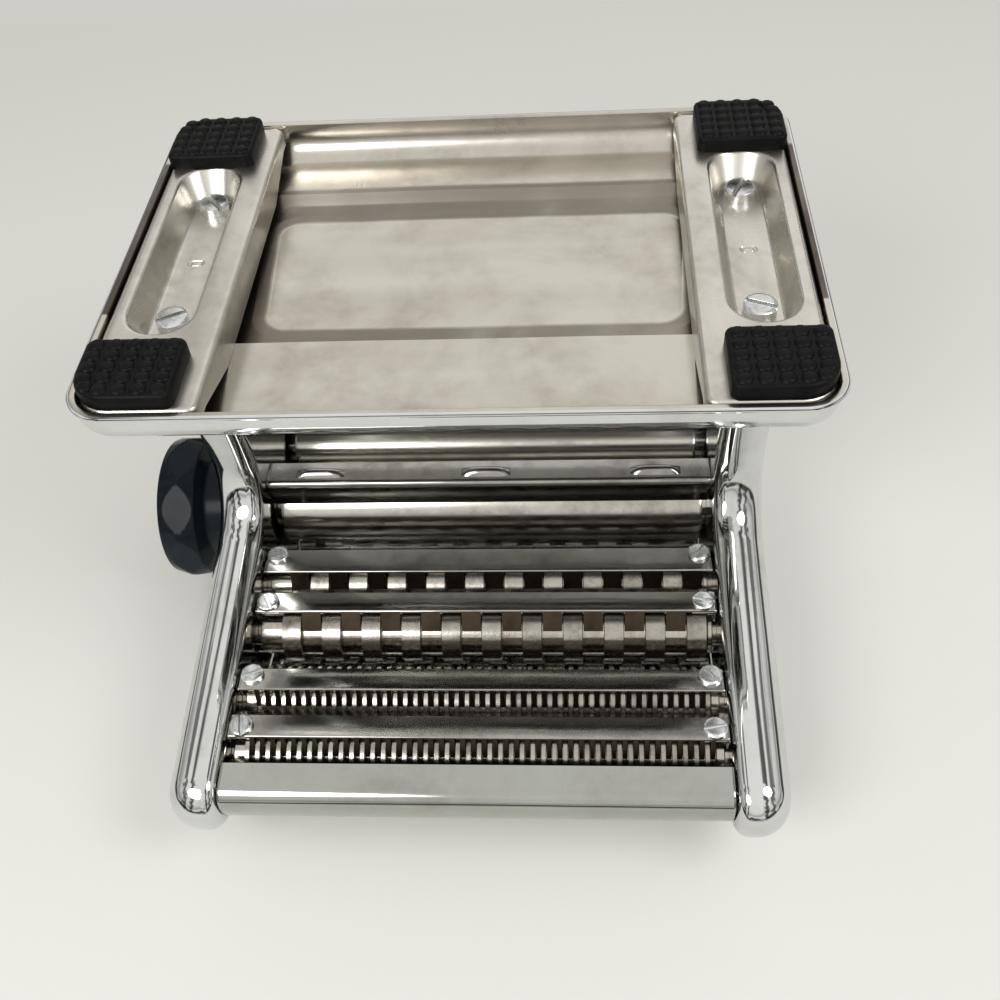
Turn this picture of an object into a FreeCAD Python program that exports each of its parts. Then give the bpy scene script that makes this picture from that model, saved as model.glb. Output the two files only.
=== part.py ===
import FreeCAD, Part
import math
import os
import re

import Sketcher

# A hand-cranked pasta machine: a sheet base pan on four rubber feet, two chromed cheeks that lean
# forward over it, a pair of smooth rollers at the rear and two pairs of cutter rollers in the nose.
# Millimetres. Origin on the table under the middle of the base, +X to the regulator knob, -Y to the
# nose, +Z up.

SIZES = {
    # Base pan, pressed from one sheet
    "rim_height": 5.0,
    "pan_length": 192.1,
    "pan_width": 133.7,
    "flange_lap": 1.1,
    "pan_corner": 14.0,
    "pan_height": 12.0,
    "pan_round": 8.5,
    "pan_inner_bevel": 5.5,
    "pan_sheet": 1.2,
    "plateau_length": 188.0,
    "plateau_front": 31.0,
    "plateau_rear": 43.0,
    "plateau_corner": 6.0,
    "plateau_rise": 3.5,
    "plateau_slope": 3.2,
    # Foot rails inside the pan
    "rail_inner": 61.5,
    "rail_outer": 93.1,
    "rail_half_length": 64.0,
    "rail_corner": 11.5,
    "rail_height": 4.8,
    "rail_sheet": 1.2,
    "rail_lift": 0.3,
    "rail_wall_half": 52.0,
    "trough_middle": 79.4,
    "trough_width": 19.0,
    "trough_front": 35.0,
    "trough_rear": 43.0,
    "trough_depth": 8.7,
    "trough_draft": 20.0,
    "trough_end_flat": 0.2,
    "rail_screw_front": 21.3,
    "rail_screw_rear": 32.5,
    "rail_screw_radius": 2.5,
    "rail_screw_head": 4.6,
    "rail_screw_head_height": 3.2,
    "rail_screw_length": 11.5,
    "screw_slot_width": 1.2,
    "screw_slot_depth": 1.2,
    "hole_clearance": 0.1,
    # Rubber feet
    "foot_inner": 66.5,
    "foot_outer": 93.0,
    "foot_near": 41.5,
    "foot_far": 63.4,
    "foot_corner": 10.0,
    "foot_small_corner": 2.0,
    "foot_plug_radius": 3.0,
    # Cheeks: a pressed frame on the inside of each and a domed cover on the outside
    "frame_inside": 74.6,
    "cheek_seam": 80.3,
    "cheek_outside": 91.0,
    "cheek_sheet": 1.2,
    "frame_bevel": 3.5,
    "frame_wall_inset": 3.5,
    "cover_wall_inset": 1.9,
    "cover_deep_inset": 8.0,
    "cover_step": 5.0,
    "cover_depth": 9.3,
    "cover_round": 10.0,
    "pocket_lean": 1.3,
    "pocket_drop": 1.1,
    "neck_front": 26.5,
    "neck_rear": 40.0,
    "neck_top_front": 13.3,
    "neck_bend_top": 88.0,
    "neck_middle_front": 16.5,
    "neck_middle_height": 55.0,
    "cheek_rear": 54.0,
    "cheek_rear_knee": 112.0,
    "cheek_top": 152.0,
    "cheek_top_front": 20.2,
    "shoulder_foot_front": 29.5,
    "shoulder_foot_height": 144.75,
    "crest_slope": 7.87,
    "underside_slope": 7.57,
    "underside_height": 96.5,
    "nose_reach": 118.0,
    "nose_radius": 11.5,
    "throat_radius": 12.5,
    "crown_radius": 14.0,
    "shoulder_radius": 12.0,
    "shoulder_foot_radius": 20.0,
    "knee_radius": 40.0,
    # Sheet covers between the cheeks
    "cover_sheet": 1.2,
    "cover_end_gap": 0.2,
    "cover_inset": 2.5,
    "cover_bend": 1.5,
    "hopper_front": 1.0,
    "hopper_rear": 38.0,
    "hopper_throat_front": 8.5,
    "hopper_throat_rear": 28.5,
    "hopper_throat_height": 136.0,
    "wide_slot_rear": 33.0,
    "wide_slot_front": 46.2,
    "slot_lip_drop": 5.0,
    "slot_lip_reach": 1.2,
    "shoulder_setback": 1.3,
    "narrow_slot_rear": 79.0,
    "narrow_slot_front": 101.5,
    "nose_cover_front": 114.5,
    "nose_cover_bottom": 111.6,
    "nose_cover_rise": 1.5,
    "nose_cover_rear": 103.0,
    "nose_cover_bend": 4.5,
    "rear_cover_bend": 9.0,
    "rear_cover_bottom": 100.0,
    # Smooth rollers
    "roller_radius": 14.0,
    "roller_half_length": 72.8,
    "rear_roller_y": 33.0,
    "roller_height": 119.5,
    "knob_axis_y": 3.5,
    "eccentricity": 0.8,
    "drive_shaft_radius": 6.0,
    "socket_radius": 4.0,
    "socket_depth": 12.0,
    "socket_end_depth": 0.7,
    "socket_hole_gap": 0.6,
    "running_clearance": 0.05,
    "roller_neck_radius": 9.2,
    # Regulator: an eccentric shaft through the hollow front roller
    "regulator_journal": 5.0,
    "eccentric_radius": 6.0,
    "sleeve_length": 12.0,
    "sleeve_wall": 1.5,
    "sleeve_end_gap": 0.4,
    "regulator_end": 88.8,
    "eccentric_end": 85.8,
    "eccentric_knob_end": 73.6,
    "journal_knob_end": 91.3,
    "square_half": 3.8,
    "square_end": 108.0,
    "boss_radius": 8.0,
    "boss_height": 3.0,
    # Cutter rollers
    "cutter_height": 123.0,
    "ring_radius": 10.25,
    "cutter_core": 8.2,
    "cutter_spacing": 19.0,
    "wide_cutter_y": 30.0,
    "narrow_cutter_y": 74.5,
    "wide_ring": 6.5,
    "wide_ring_count": 11,
    "wide_first_edge": 65.4,
    "narrow_ring": 1.58,
    "narrow_ring_count": 44,
    "narrow_first_edge": 69.0,
    "ring_side_gap": 0.05,
    "ring_sides_wide": 16,
    "ring_sides_narrow": 8,
    "collar_radius": 7.5,
    "collar_outside": 73.0,
    "collar_gap": 0.3,
    "partner_shaft_radius": 5.0,
    "shaft_outside_knob": 79.8,
    # Gears in the crank side cheek
    "gear_inside": 80.6,
    "gear_outside": 85.0,
    "roller_gear_teeth": 14,
    "cutter_gear_teeth": 12,
    "cutter_tooth_tip": 0.6,
    "roller_tooth_tip": 0.8,
    "cutter_tooth_root": 1.1,
    "roller_tooth_root": 1.35,
    "cutter_tooth_angle": 25.0,
    "roller_tooth_angle": 20.0,
    "cutter_tooth_slack": 0.16,
    "roller_tooth_slack": 1.6,
    # Bearing blocks on the frames
    "block_half_side": 8.0,
    "block_length": 2.6,
    "shaft_hole_gap": 0.5,
    # Comb plates under the cutters
    "comb_height": 110.1,
    "comb_half_length": 74.0,
    "comb_sheet": 1.2,
    "wide_comb_rear_back": 25.1,
    "wide_comb_rear_edge": 34.3,
    "wide_comb_front_back": 42.9,
    "wide_comb_front_edge": 50.2,
    "narrow_comb_rear_back": 71.8,
    "narrow_comb_rear_edge": 79.2,
    "narrow_comb_front_back": 88.0,
    "narrow_comb_front_edge": 95.3,
    "finger_side_gap": 0.2,
    "finger_thickness": 0.8,
    "finger_rear_reach": 6.6,
    "finger_rear_drop": 6.2,
    "finger_front_reach": 5.2,
    "finger_front_drop": 7.4,
    "slot_half_length": 2.6,
    "comb_screw_x": 70.1,
    "comb_screw_radius": 1.8,
    "comb_screw_head": 3.5,
    "comb_screw_head_height": 1.6,
    "bracket_inner": 66.5,
    "bracket_half_width": 3.2,
    "bracket_top": 116.4,
    "bracket_sheet": 1.0,
    "screw_setback_rear": 2.4,
    "screw_setback_front": 3.9,
    # Scrapers under the smooth rollers
    "scraper_height": 95.0,
    "scraper_width": 10.0,
    "scraper_front_start": 1.0,
    "scraper_rear_start": 35.5,
    "scraper_gap": 1.4,
    "scraper_angle": 42.0,
    "louvre_half_length": 8.3,
    "louvre_half_width": 1.5,
    "louvre_middle": 56.5,
    "louvre_rise": 2.0,
    # Tie rods
    "tie_radius": 2.5,
    "rivet_radius": 3.4,
    "rivet_height": 1.4,
    "tie_shoulder_front": 13.0,
    "tie_shoulder_height": 140.0,
    "tie_rear_back": 41.0,
    "tie_rear_height": 140.0,
    "tie_nose_front": 107.2,
    "tie_nose_height": 122.0,
    # Lugs of the frames, threaded for the rail screws
    "lug_half_width": 3.6,
    "lug_height": 6.0,
    "lug_gap": 0.3,
    "cheek_lug_gap": 5.5,
    # Regulator knob
    "knob_hub_radius": 18.3,
    "knob_start": 91.5,
    "knob_flare_start": 99.0,
    "knob_skirt_start": 100.5,
    "knob_skirt_radius": 24.3,
    "knob_radius": 26.2,
    "knob_widest": 106.5,
    "knob_end": 113.8,
    "knob_end_radius": 23.8,
    "knob_facet_distance": 24.7,
    "knob_facets": 8,
    "knob_web": 4.5,
    "knob_bore_radius": 9.0,
    "knob_cap_start": 112.0,
    "nut_radius": 7.5,
    "nut_height": 3.4,
    "nut_thread_radius": 3.0,
    "spring_radius": 7.0,
    "spring_bore": 5.6,
    "spring_gap": 0.3,
    "index_pin_radius": 1.5,
    "index_circle": 13.0,
    "index_stops": 9,
    "index_step": 22.5,
    "dimple_depth": 1.5,
    "dimple_radius": 1.9,
    "index_pin_gap": 0.3,
    "index_pin_length": 3.5,
}

doc = FreeCAD.newDocument("pasta_machine")


def make_sheet():
    """The table of driving sizes, one named cell for each."""
    sheet = doc.addObject("Spreadsheet::Sheet", "sizes")
    for row, (name, size) in enumerate(SIZES.items(), start=1):
        sheet.set(f"A{row}", name)
        sheet.set(f"B{row}", str(size))
        sheet.setAlias(f"B{row}", name)
    doc.recompute()
    return sheet


SHEET = make_sheet()


def formula(text):
    """The text with each size's name turned into its cell."""
    names = r"[a-z][a-z_]*"
    return re.sub(names, lambda word: "sizes." + word[0] if word[0] in SIZES else word[0], str(text))


def number(text):
    """What a formula over the sizes comes to."""
    return float(SHEET.evalExpression(formula(text)))


def bind(item, where, text):
    item.setExpression(where, formula(text))


# Helpers for sketches and features

def new_body(label, y="0", z="0"):
    """A body whose own X axis lies along the machine's, at the given height and depth."""
    body = doc.addObject("PartDesign::Body", label)
    body.Label = label
    bind(body, "Placement.Base.y", y)
    bind(body, "Placement.Base.z", z)
    return body


def origin_item(body, role):
    return next(item for item in body.Origin.OriginFeatures if item.Role == role)


def new_sketch(body, name, plane, offset):
    sketch = body.newObject("Sketcher::SketchObject", name)
    sketch.AttachmentSupport = [(origin_item(body, plane), "")]
    sketch.MapMode = "FlatFace"
    bind(sketch, "AttachmentOffset.Base.z", offset)
    return sketch


def tie(sketch, kind, *parts):
    return sketch.addConstraint(Sketcher.Constraint(kind, *parts))


def tie_size(sketch, kind, parts, text):
    index = sketch.addConstraint(Sketcher.Constraint(kind, *parts, number(text)))
    bind(sketch, f"Constraints[{index}]", text)


def outline(body, name, plane, offset, corners):
    """A closed outline of straight runs between corners (u, v)."""
    sketch = new_sketch(body, name, plane, offset)
    points = [FreeCAD.Vector(number(u), number(v), 0) for u, v in corners]
    for start, stop in zip(points, points[1:] + points[:1]):
        sketch.addGeometry(Part.LineSegment(start, stop), False)
    for index, (u, v) in enumerate(corners):
        tie(sketch, "Coincident", index, 2, (index + 1) % len(corners), 1)
        tie_size(sketch, "DistanceX", (-1, 1, index, 1), u)
        tie_size(sketch, "DistanceY", (-1, 1, index, 1), v)
    return sketch


def rounded_rectangle(body, name, plane, offset, low, high, radius):
    """A rectangle from the low corner to the high one, with four equal round corners."""
    sketch = new_sketch(body, name, plane, offset)
    left, bottom = number(low[0]), number(low[1])
    right, top = number(high[0]), number(high[1])
    round_size = number(radius)
    inner = [(right - round_size, bottom + round_size), (right - round_size, top - round_size),
             (left + round_size, top - round_size), (left + round_size, bottom + round_size)]
    starts = [(left + round_size, bottom), (right, bottom + round_size),
              (right - round_size, top), (left, top - round_size)]
    stops = [(right - round_size, bottom), (right, top - round_size),
             (left + round_size, top), (left, bottom + round_size)]
    for side in range(4):
        line = Part.LineSegment(FreeCAD.Vector(*starts[side], 0), FreeCAD.Vector(*stops[side], 0))
        sketch.addGeometry(line, False)
        circle = Part.Circle(FreeCAD.Vector(*inner[side], 0), FreeCAD.Vector(0, 0, 1), round_size)
        angle = (side - 1) * math.pi / 2
        sketch.addGeometry(Part.ArcOfCircle(circle, angle, angle + math.pi / 2), False)
    for side in range(4):
        line, arc = 2 * side, 2 * side + 1
        tie(sketch, "Tangent", line, 2, arc, 1)
        tie(sketch, "Tangent", arc, 2, (line + 2) % 8, 1)
        tie(sketch, "Horizontal" if side % 2 == 0 else "Vertical", line)
    for arc in (3, 5, 7):
        tie(sketch, "Equal", 1, arc)
    tie_size(sketch, "Radius", (1,), radius)
    tie_size(sketch, "DistanceY", (-1, 1, 0, 1), low[1])
    tie_size(sketch, "DistanceX", (-1, 1, 2, 1), high[0])
    tie_size(sketch, "DistanceY", (-1, 1, 4, 1), high[1])
    tie_size(sketch, "DistanceX", (-1, 1, 6, 1), low[0])
    return sketch


def circles(body, name, plane, offset, centres, radius):
    sketch = new_sketch(body, name, plane, offset)
    for index, (u, v) in enumerate(centres):
        centre = FreeCAD.Vector(number(u), number(v), 0)
        sketch.addGeometry(Part.Circle(centre, FreeCAD.Vector(0, 0, 1), number(radius)), False)
        tie_size(sketch, "DistanceX", (-1, 1, index, 3), u)
        tie_size(sketch, "DistanceY", (-1, 1, index, 3), v)
        tie_size(sketch, "Radius", (index,), radius)
    return sketch


def polygon(body, name, offset, radius, sides):
    """A regular outline about the body's own X axis."""
    corners = [(f"{radius} * cos({360 * index / sides})", f"{radius} * sin({360 * index / sides})")
               for index in range(sides)]
    return outline(body, name, "YZ_Plane", offset, corners)


def settle(feature):
    """Recompute, and stop if the feature failed."""
    doc.recompute()
    if "Invalid" in feature.State or "Error" in feature.State:
        raise RuntimeError(f"{feature.Name} failed: {feature.getStatusString()}")
    return feature


def pad(body, sketch, length, toward=1, draft=None):
    """Material from the sketch along its normal (toward 1) or against it (-1)."""
    feature = body.newObject("PartDesign::Pad", sketch.Name + "_pad")
    feature.Profile = sketch
    feature.Reversed = toward < 0
    bind(feature, "Length", length)
    if draft:
        bind(feature, "TaperAngle", draft)
    return settle(feature)


def pocket(body, sketch, length, toward=1, draft=None):
    """A cut from the sketch along its normal (toward 1) or against it (-1)."""
    before = body.Shape.Volume
    feature = body.newObject("PartDesign::Pocket", sketch.Name + "_cut")
    feature.Profile = sketch
    feature.Reversed = toward > 0
    bind(feature, "Length", length)
    if draft:
        bind(feature, "TaperAngle", draft)
    settle(feature)
    if not body.Shape.Volume < before - 1e-6:
        raise RuntimeError(f"{feature.Name} in {body.Label} cuts nothing")
    return feature


def edges_where(shape, test):
    return [f"Edge{index}" for index, edge in enumerate(shape.Edges, start=1) if test(edge)]


def dress(body, kind, base, names, size):
    """A fillet or a chamfer on the named edges of a feature."""
    if not names:
        raise RuntimeError(f"no edge for the {kind} of {body.Label}")
    feature = body.newObject("PartDesign::" + kind, f"{base.Name}_{kind.lower()}")
    feature.Base = (base, names)
    bind(feature, "Radius" if kind == "Fillet" else "Size", size)
    return settle(feature)


def lies_along_x(edge, y, z):
    """Whether a straight edge runs along X at the given depth and height."""
    ends = [vertex.Point for vertex in edge.Vertexes]
    if len(ends) < 2 or abs(ends[0].x - ends[1].x) < 0.5:
        return False
    return all(abs(end.y - y) < 0.05 and abs(end.z - z) < 0.05 for end in ends)


def round_corner(body, base, y, z, radius):
    """A round along X at the corner of an extruded outline."""
    names = edges_where(base.Shape, lambda edge: lies_along_x(edge, number(y), number(z)))
    return dress(body, "Fillet", base, names, radius)


def upright(edge):
    ends = [vertex.Point for vertex in edge.Vertexes]
    return len(ends) == 2 and math.hypot(ends[0].x - ends[1].x, ends[0].y - ends[1].y) < 1e-4


def at_height(edge, height):
    return all(abs(vertex.Point.z - height) < 1e-4 for vertex in edge.Vertexes)


def lengthwise_pattern(body, feature, pitch, count):
    """Copies of a feature along X, towards -X."""
    pattern = body.newObject("PartDesign::LinearPattern", feature.Name + "_row")
    pattern.Originals = [feature]
    pattern.Direction = (origin_item(body, "X_Axis"), [""])
    pattern.Reversed = True
    bind(pattern, "Occurrences", count)
    bind(pattern, "Length", f"({pitch}) * ({count} - 1)")
    body.Tip = pattern
    return settle(pattern)


def round_pattern(body, feature, count):
    """Copies of a feature all round the body's own X axis."""
    pattern = body.newObject("PartDesign::PolarPattern", feature.Name + "_ring")
    pattern.Originals = [feature]
    pattern.Axis = (origin_item(body, "X_Axis"), [""])
    pattern.Angle = 360
    bind(pattern, "Occurrences", count)
    body.Tip = pattern
    return settle(pattern)


SIDES = (("knob_side", 1), ("crank_side", -1))
ENDS = (("front", -1), ("rear", 1))
ROOF = "rim_height + pan_height + plateau_rise"


def pan_form(body, name, inset, kind, size):
    """The pan with its raised plateau, drawn in all round by the inset, its ledge rounded or bevelled."""
    wall_x = f"(pan_length / 2 - flange_lap - {inset})"
    wall_y = f"(pan_width / 2 - flange_lap - {inset})"
    block = pad(body, rounded_rectangle(
        body, f"{name}_wall", "XY_Plane", "rim_height", (f"-{wall_x}", f"-{wall_y}"), (wall_x, wall_y),
        f"pan_corner - {inset}"), f"pan_height - {inset}")
    ledge = number(f"rim_height + pan_height - {inset}")
    dress(body, kind, block, edges_where(block.Shape, lambda edge: at_height(edge, ledge)), size)
    plateau = pad(body, rounded_rectangle(
        body, f"{name}_plateau", "XY_Plane", "rim_height + pan_height - pan_round",
        (f"-(plateau_length / 2 - {inset})", f"-(plateau_front - {inset})"),
        (f"plateau_length / 2 - {inset}", f"plateau_rear - {inset}"), f"plateau_corner - {inset}"),
        f"pan_round + plateau_rise - {inset}")
    roof = number(f"{ROOF} - {inset}")
    return dress(body, "Chamfer", plateau,
                 edges_where(plateau.Shape, lambda edge: at_height(edge, roof)), "plateau_slope")


def make_base_pan():
    """A pressed pan: a rim flange, a wall rounded into the top, and a raised plateau for the cheeks."""
    inside = new_body("pan_inside")
    pan_form(inside, "inside", "pan_sheet", "Chamfer", "pan_inner_bevel")
    body = new_body("base_pan")
    pan_form(body, "outside", "0", "Fillet", "pan_round")
    half_x, half_y = "pan_length / 2", "pan_width / 2"
    pad(body, rounded_rectangle(
        body, "flange", "XY_Plane", "rim_height", (f"-({half_x})", f"-({half_y})"), (half_x, half_y),
        "pan_corner + flange_lap"), "pan_sheet")
    hollow = body.newObject("PartDesign::Boolean", "pan_hollow")
    hollow.Type = "Cut"
    hollow.setObjects([inside])
    settle(hollow)
    places = [(f"{side} * trough_middle", y) for side in (1, -1)
              for y in ("-rail_screw_front", "rail_screw_rear")]
    pocket(body, circles(body, "screw_holes", "XY_Plane", f"{ROOF} + 1", places,
                         "rail_screw_radius + hole_clearance"), "pan_sheet + 2", -1)
    return body


def rail_span(side, inner, outer):
    """The two X limits of something on one side, the lower first."""
    return (inner, outer) if side > 0 else (f"-({outer})", f"-({inner})")


def make_foot_rail(name, side):
    """A pressed rail under each end of the pan, with a dished trough for its two screws."""
    body = new_body("foot_rail_" + name)
    floor = "rim_height + rail_lift"
    low_x, high_x = rail_span(side, "rail_inner", "rail_outer")
    pad(body, rounded_rectangle(
        body, f"tray_{name}", "XY_Plane", floor, (low_x, "-rail_half_length"),
        (high_x, "rail_half_length"), "rail_corner"), "rail_height")
    low_in, high_in = rail_span(side, "rail_inner + rail_sheet", "rail_outer - rail_sheet")
    pocket(body, rounded_rectangle(
        body, f"inside_{name}", "XY_Plane", f"{floor} + rail_sheet",
        (low_in, "-(rail_half_length - rail_sheet)"), (high_in, "rail_half_length - rail_sheet"),
        "rail_corner - rail_sheet"), "rail_height")
    low_wall, high_wall = rail_span(side, "rail_inner", "rail_inner + rail_sheet")
    wall = outline(body, f"wall_{name}", "XY_Plane", f"{floor} + rail_sheet",
                   [(low_wall, "-rail_wall_half"), (high_wall, "-rail_wall_half"),
                    (high_wall, "rail_wall_half"), (low_wall, "rail_wall_half")])
    pad(body, wall, f"rim_height + pan_height - pan_sheet - ({floor} + rail_sheet)")
    for kind, grow in (("outside", "rail_sheet"), ("within", "0")):
        half = f"(trough_width / 2 + {grow})"
        low_t, high_t = rail_span(side, f"trough_middle - {half}", f"trough_middle + {half}")
        sketch = rounded_rectangle(
            body, f"trough_{kind}_{name}", "XY_Plane", floor, (low_t, f"-(trough_front + {grow})"),
            (high_t, f"trough_rear + {grow}"), f"{half} - trough_end_flat")
        if kind == "outside":
            pad(body, sketch, "trough_depth + rail_sheet", 1, "-trough_draft")
        else:
            pocket(body, sketch, "trough_depth", 1, "-trough_draft")
    pocket(body, circles(
        body, f"rail_holes_{name}", "XY_Plane", f"{floor} + trough_depth - 1",
        [(f"{side} * trough_middle", "-rail_screw_front"), (f"{side} * trough_middle", "rail_screw_rear")],
        "rail_screw_radius + hole_clearance"), "rail_sheet + 2")
    plug_x = f"{side} * (foot_inner + foot_outer) / 2"
    plug_y = "(foot_near + foot_far) / 2"
    pocket(body, circles(
        body, f"plug_holes_{name}", "XY_Plane", f"{floor} - 1",
        [(plug_x, f"-({plug_y})"), (plug_x, plug_y)], "foot_plug_radius + hole_clearance"),
        "rail_sheet + 1.5")
    return body


def make_foot(name, side, end_name, end):
    """A rubber foot under the end of a rail, held by a plug through the rail."""
    body = new_body(f"rubber_foot_{end_name}_{name}")
    low_x, high_x = rail_span(side, "foot_inner", "foot_outer")
    low_y, high_y = rail_span(end, "foot_near", "foot_far")
    block = pad(body, outline(
        body, f"foot_{end_name}_{name}", "XY_Plane", "0",
        [(low_x, low_y), (high_x, low_y), (high_x, high_y), (low_x, high_y)]), "rim_height + rail_lift")
    outer_corner = (number(f"{side} * foot_outer"), number(f"{end} * foot_far"))

    def is_outer(edge):
        point = edge.Vertexes[0].Point
        return math.dist((point.x, point.y), outer_corner) < 0.01

    large = dress(body, "Fillet", block,
                  edges_where(block.Shape, lambda edge: upright(edge) and is_outer(edge)), "foot_corner")
    small_corners = [(number(f"{side} * foot_{across}"), number(f"{end} * foot_{along}"))
                     for across, along in (("inner", "near"), ("inner", "far"), ("outer", "near"))]

    def is_small(edge):
        point = edge.Vertexes[0].Point
        return any(math.dist((point.x, point.y), corner) < 0.01 for corner in small_corners)

    dress(body, "Fillet", large,
          edges_where(large.Shape, lambda edge: upright(edge) and is_small(edge)), "foot_small_corner")
    pad(body, circles(
        body, f"plug_{end_name}_{name}", "XY_Plane", "rim_height + rail_lift",
        [(f"{side} * (foot_inner + foot_outer) / 2", f"{end} * (foot_near + foot_far) / 2")],
        "foot_plug_radius"), "rail_sheet")
    return body


NOSE_TOP = "shoulder_foot_height - (nose_reach - shoulder_foot_front) * tan(crest_slope)"
NOSE_BOTTOM = "underside_height + nose_reach * tan(underside_slope)"
THROAT = "underside_height + neck_top_front * tan(underside_slope)"


def cheek_outline(body, name, offset):
    """The outline that the frame and the cover of a cheek share, seen from +X."""
    return outline(body, name, "YZ_Plane", offset, [
        ("-neck_front", ROOF),
        ("neck_rear", ROOF),
        ("cheek_rear", "cheek_rear_knee"),
        ("cheek_rear", "cheek_top"),
        ("-cheek_top_front", "cheek_top"),
        ("-shoulder_foot_front", "shoulder_foot_height"),
        ("-nose_reach", NOSE_TOP),
        ("-nose_reach", NOSE_BOTTOM),
        ("-neck_top_front", THROAT),
        ("-neck_top_front", "neck_bend_top"),
        ("-neck_middle_front", "neck_middle_height"),
    ])


def cheek_blank(body, name, start, thickness, side):
    """The extruded cheek outline with its corners rounded."""
    feature = pad(body, cheek_outline(body, name, f"{side} * ({start})"), thickness, side)
    for y, z, radius in (
            ("-nose_reach", NOSE_TOP, "nose_radius"),
            ("-nose_reach", NOSE_BOTTOM, "nose_radius"),
            ("-neck_top_front", THROAT, "throat_radius"),
            ("cheek_rear", "cheek_top", "crown_radius"),
            ("-cheek_top_front", "cheek_top", "shoulder_radius"),
            ("-shoulder_foot_front", "shoulder_foot_height", "shoulder_foot_radius"),
            ("cheek_rear", "cheek_rear_knee", "knee_radius")):
        feature = round_corner(body, feature, y, z, radius)
    return feature


def face_edges(shape, x):
    """The edges of a cheek that lie in one plane across X, but not along its foot."""
    foot = number(ROOF)

    def on_plane(edge):
        points = [vertex.Point for vertex in edge.Vertexes]
        return all(abs(point.x - x) < 1e-4 for point in points) and not at_height(edge, foot)

    return edges_where(shape, on_plane)


def cheek_pocket(body, name, start, depth, side, inset):
    """A hollow in a cheek piece, drawn in from its outline by the inset, cut outwards from a plane."""
    nose_end = "(nose_reach - nose_radius)"
    tip = f"({nose_end} + cos(45) * (nose_radius - {inset}))"
    top = f"shoulder_foot_height - ({nose_end} - shoulder_foot_front) * tan(crest_slope)"
    low = f"underside_height + {nose_end} * tan(underside_slope)"
    middle = f"({top} + {low}) / 2"
    half_tip = f"nose_radius / 2 - {inset} / 2"
    sketch = outline(body, name, "YZ_Plane", f"{side} * ({start})", [
        (f"-neck_front + pocket_lean * {inset}", f"{ROOF} + {inset}"),
        (f"neck_rear - pocket_lean * {inset}", f"{ROOF} + {inset}"),
        (f"cheek_rear - {inset}", "cheek_rear_knee"),
        (f"cheek_rear - {inset}", "cheek_top - crown_radius"),
        ("cheek_rear - crown_radius", f"cheek_top - {inset}"),
        (f"-cheek_top_front + (pocket_lean - 1) * {inset}", f"cheek_top - {inset}"),
        ("-shoulder_foot_front", f"shoulder_foot_height - pocket_drop * {inset}"),
        (f"-{nose_end}", f"{top} - pocket_drop * {inset}"),
        (f"-{tip}", f"{middle} + {half_tip}"),
        (f"-{tip}", f"{middle} - {half_tip}"),
        (f"-{nose_end}", f"{low} + pocket_drop * {inset}"),
        (f"-neck_top_front + {inset}", f"{THROAT} + pocket_drop * {inset}"),
        (f"-neck_top_front + {inset}", "neck_bend_top"),
        (f"-neck_middle_front + {inset}", "neck_middle_height"),
    ])
    return pocket(body, sketch, depth, side)


KNOB_AXIS = ("knob_axis_y", "roller_height")
REAR_AXIS = ("rear_roller_y", "roller_height")
CUTTER_AXES = {
    ("wide", "driven"): ("-wide_cutter_y", "cutter_height"),
    ("wide", "partner"): ("-(wide_cutter_y + cutter_spacing)", "cutter_height"),
    ("narrow", "driven"): ("-narrow_cutter_y", "cutter_height"),
    ("narrow", "partner"): ("-(narrow_cutter_y + cutter_spacing)", "cutter_height"),
}
DRIVEN_AXES = [REAR_AXIS, CUTTER_AXES["wide", "driven"], CUTTER_AXES["narrow", "driven"]]
PARTNER_AXES = [CUTTER_AXES["wide", "partner"], CUTTER_AXES["narrow", "partner"]]
TIE_AXES = [("-tie_shoulder_front", "tie_shoulder_height"), ("tie_rear_back", "tie_rear_height"),
            ("-tie_nose_front", "tie_nose_height")]
FOOT_SCREW_YS = ("-rail_screw_front", "rail_screw_rear")


def make_side_frame(name, side):
    """A pressed frame: it carries the bearing blocks, the tie rods and the screws of its foot rail."""
    body = new_body("side_frame_" + name)
    blank = cheek_blank(body, f"frame_{name}", "frame_inside", "cheek_seam - frame_inside", side)
    dress(body, "Chamfer", blank, face_edges(blank.Shape, side * number("frame_inside")), "frame_bevel")
    cheek_pocket(body, f"frame_hollow_{name}", "frame_inside + cheek_sheet",
                 "cheek_seam - frame_inside", side, "frame_wall_inset")
    start = f"{side} * (frame_inside - 1)"
    through = "cheek_sheet + 2"
    pocket(body, circles(body, f"driven_holes_{name}", "YZ_Plane", start, DRIVEN_AXES,
                         "drive_shaft_radius + shaft_hole_gap"), through, side)
    pocket(body, circles(body, f"partner_holes_{name}", "YZ_Plane", start, PARTNER_AXES,
                         "partner_shaft_radius + shaft_hole_gap"), through, side)
    roller_hole = "regulator_journal + shaft_hole_gap"
    if side < 0:
        roller_hole = "roller_neck_radius + eccentricity + shaft_hole_gap"
    pocket(body, circles(body, f"regulator_hole_{name}", "YZ_Plane", start, [KNOB_AXIS], roller_hole),
           through, side)
    pocket(body, circles(body, f"tie_holes_{name}", "YZ_Plane", start, TIE_AXES,
                         "tie_radius + hole_clearance"), through, side)
    low_x, high_x = rail_span(side, "frame_inside + cheek_sheet", "cheek_outside - cheek_lug_gap")
    for index, y in enumerate(FOOT_SCREW_YS):
        lug = outline(body, f"lug_{index}_{name}", "XY_Plane", ROOF,
                      [(low_x, f"{y} - lug_half_width"), (high_x, f"{y} - lug_half_width"),
                       (high_x, f"{y} + lug_half_width"), (low_x, f"{y} + lug_half_width")])
        pad(body, lug, "lug_height")
    pocket(body, circles(body, f"lug_holes_{name}", "XY_Plane", f"{ROOF} - 1",
                         [(f"{side} * trough_middle", y) for y in FOOT_SCREW_YS],
                         "rail_screw_radius + running_clearance"), "lug_height + 2")
    return body


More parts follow.
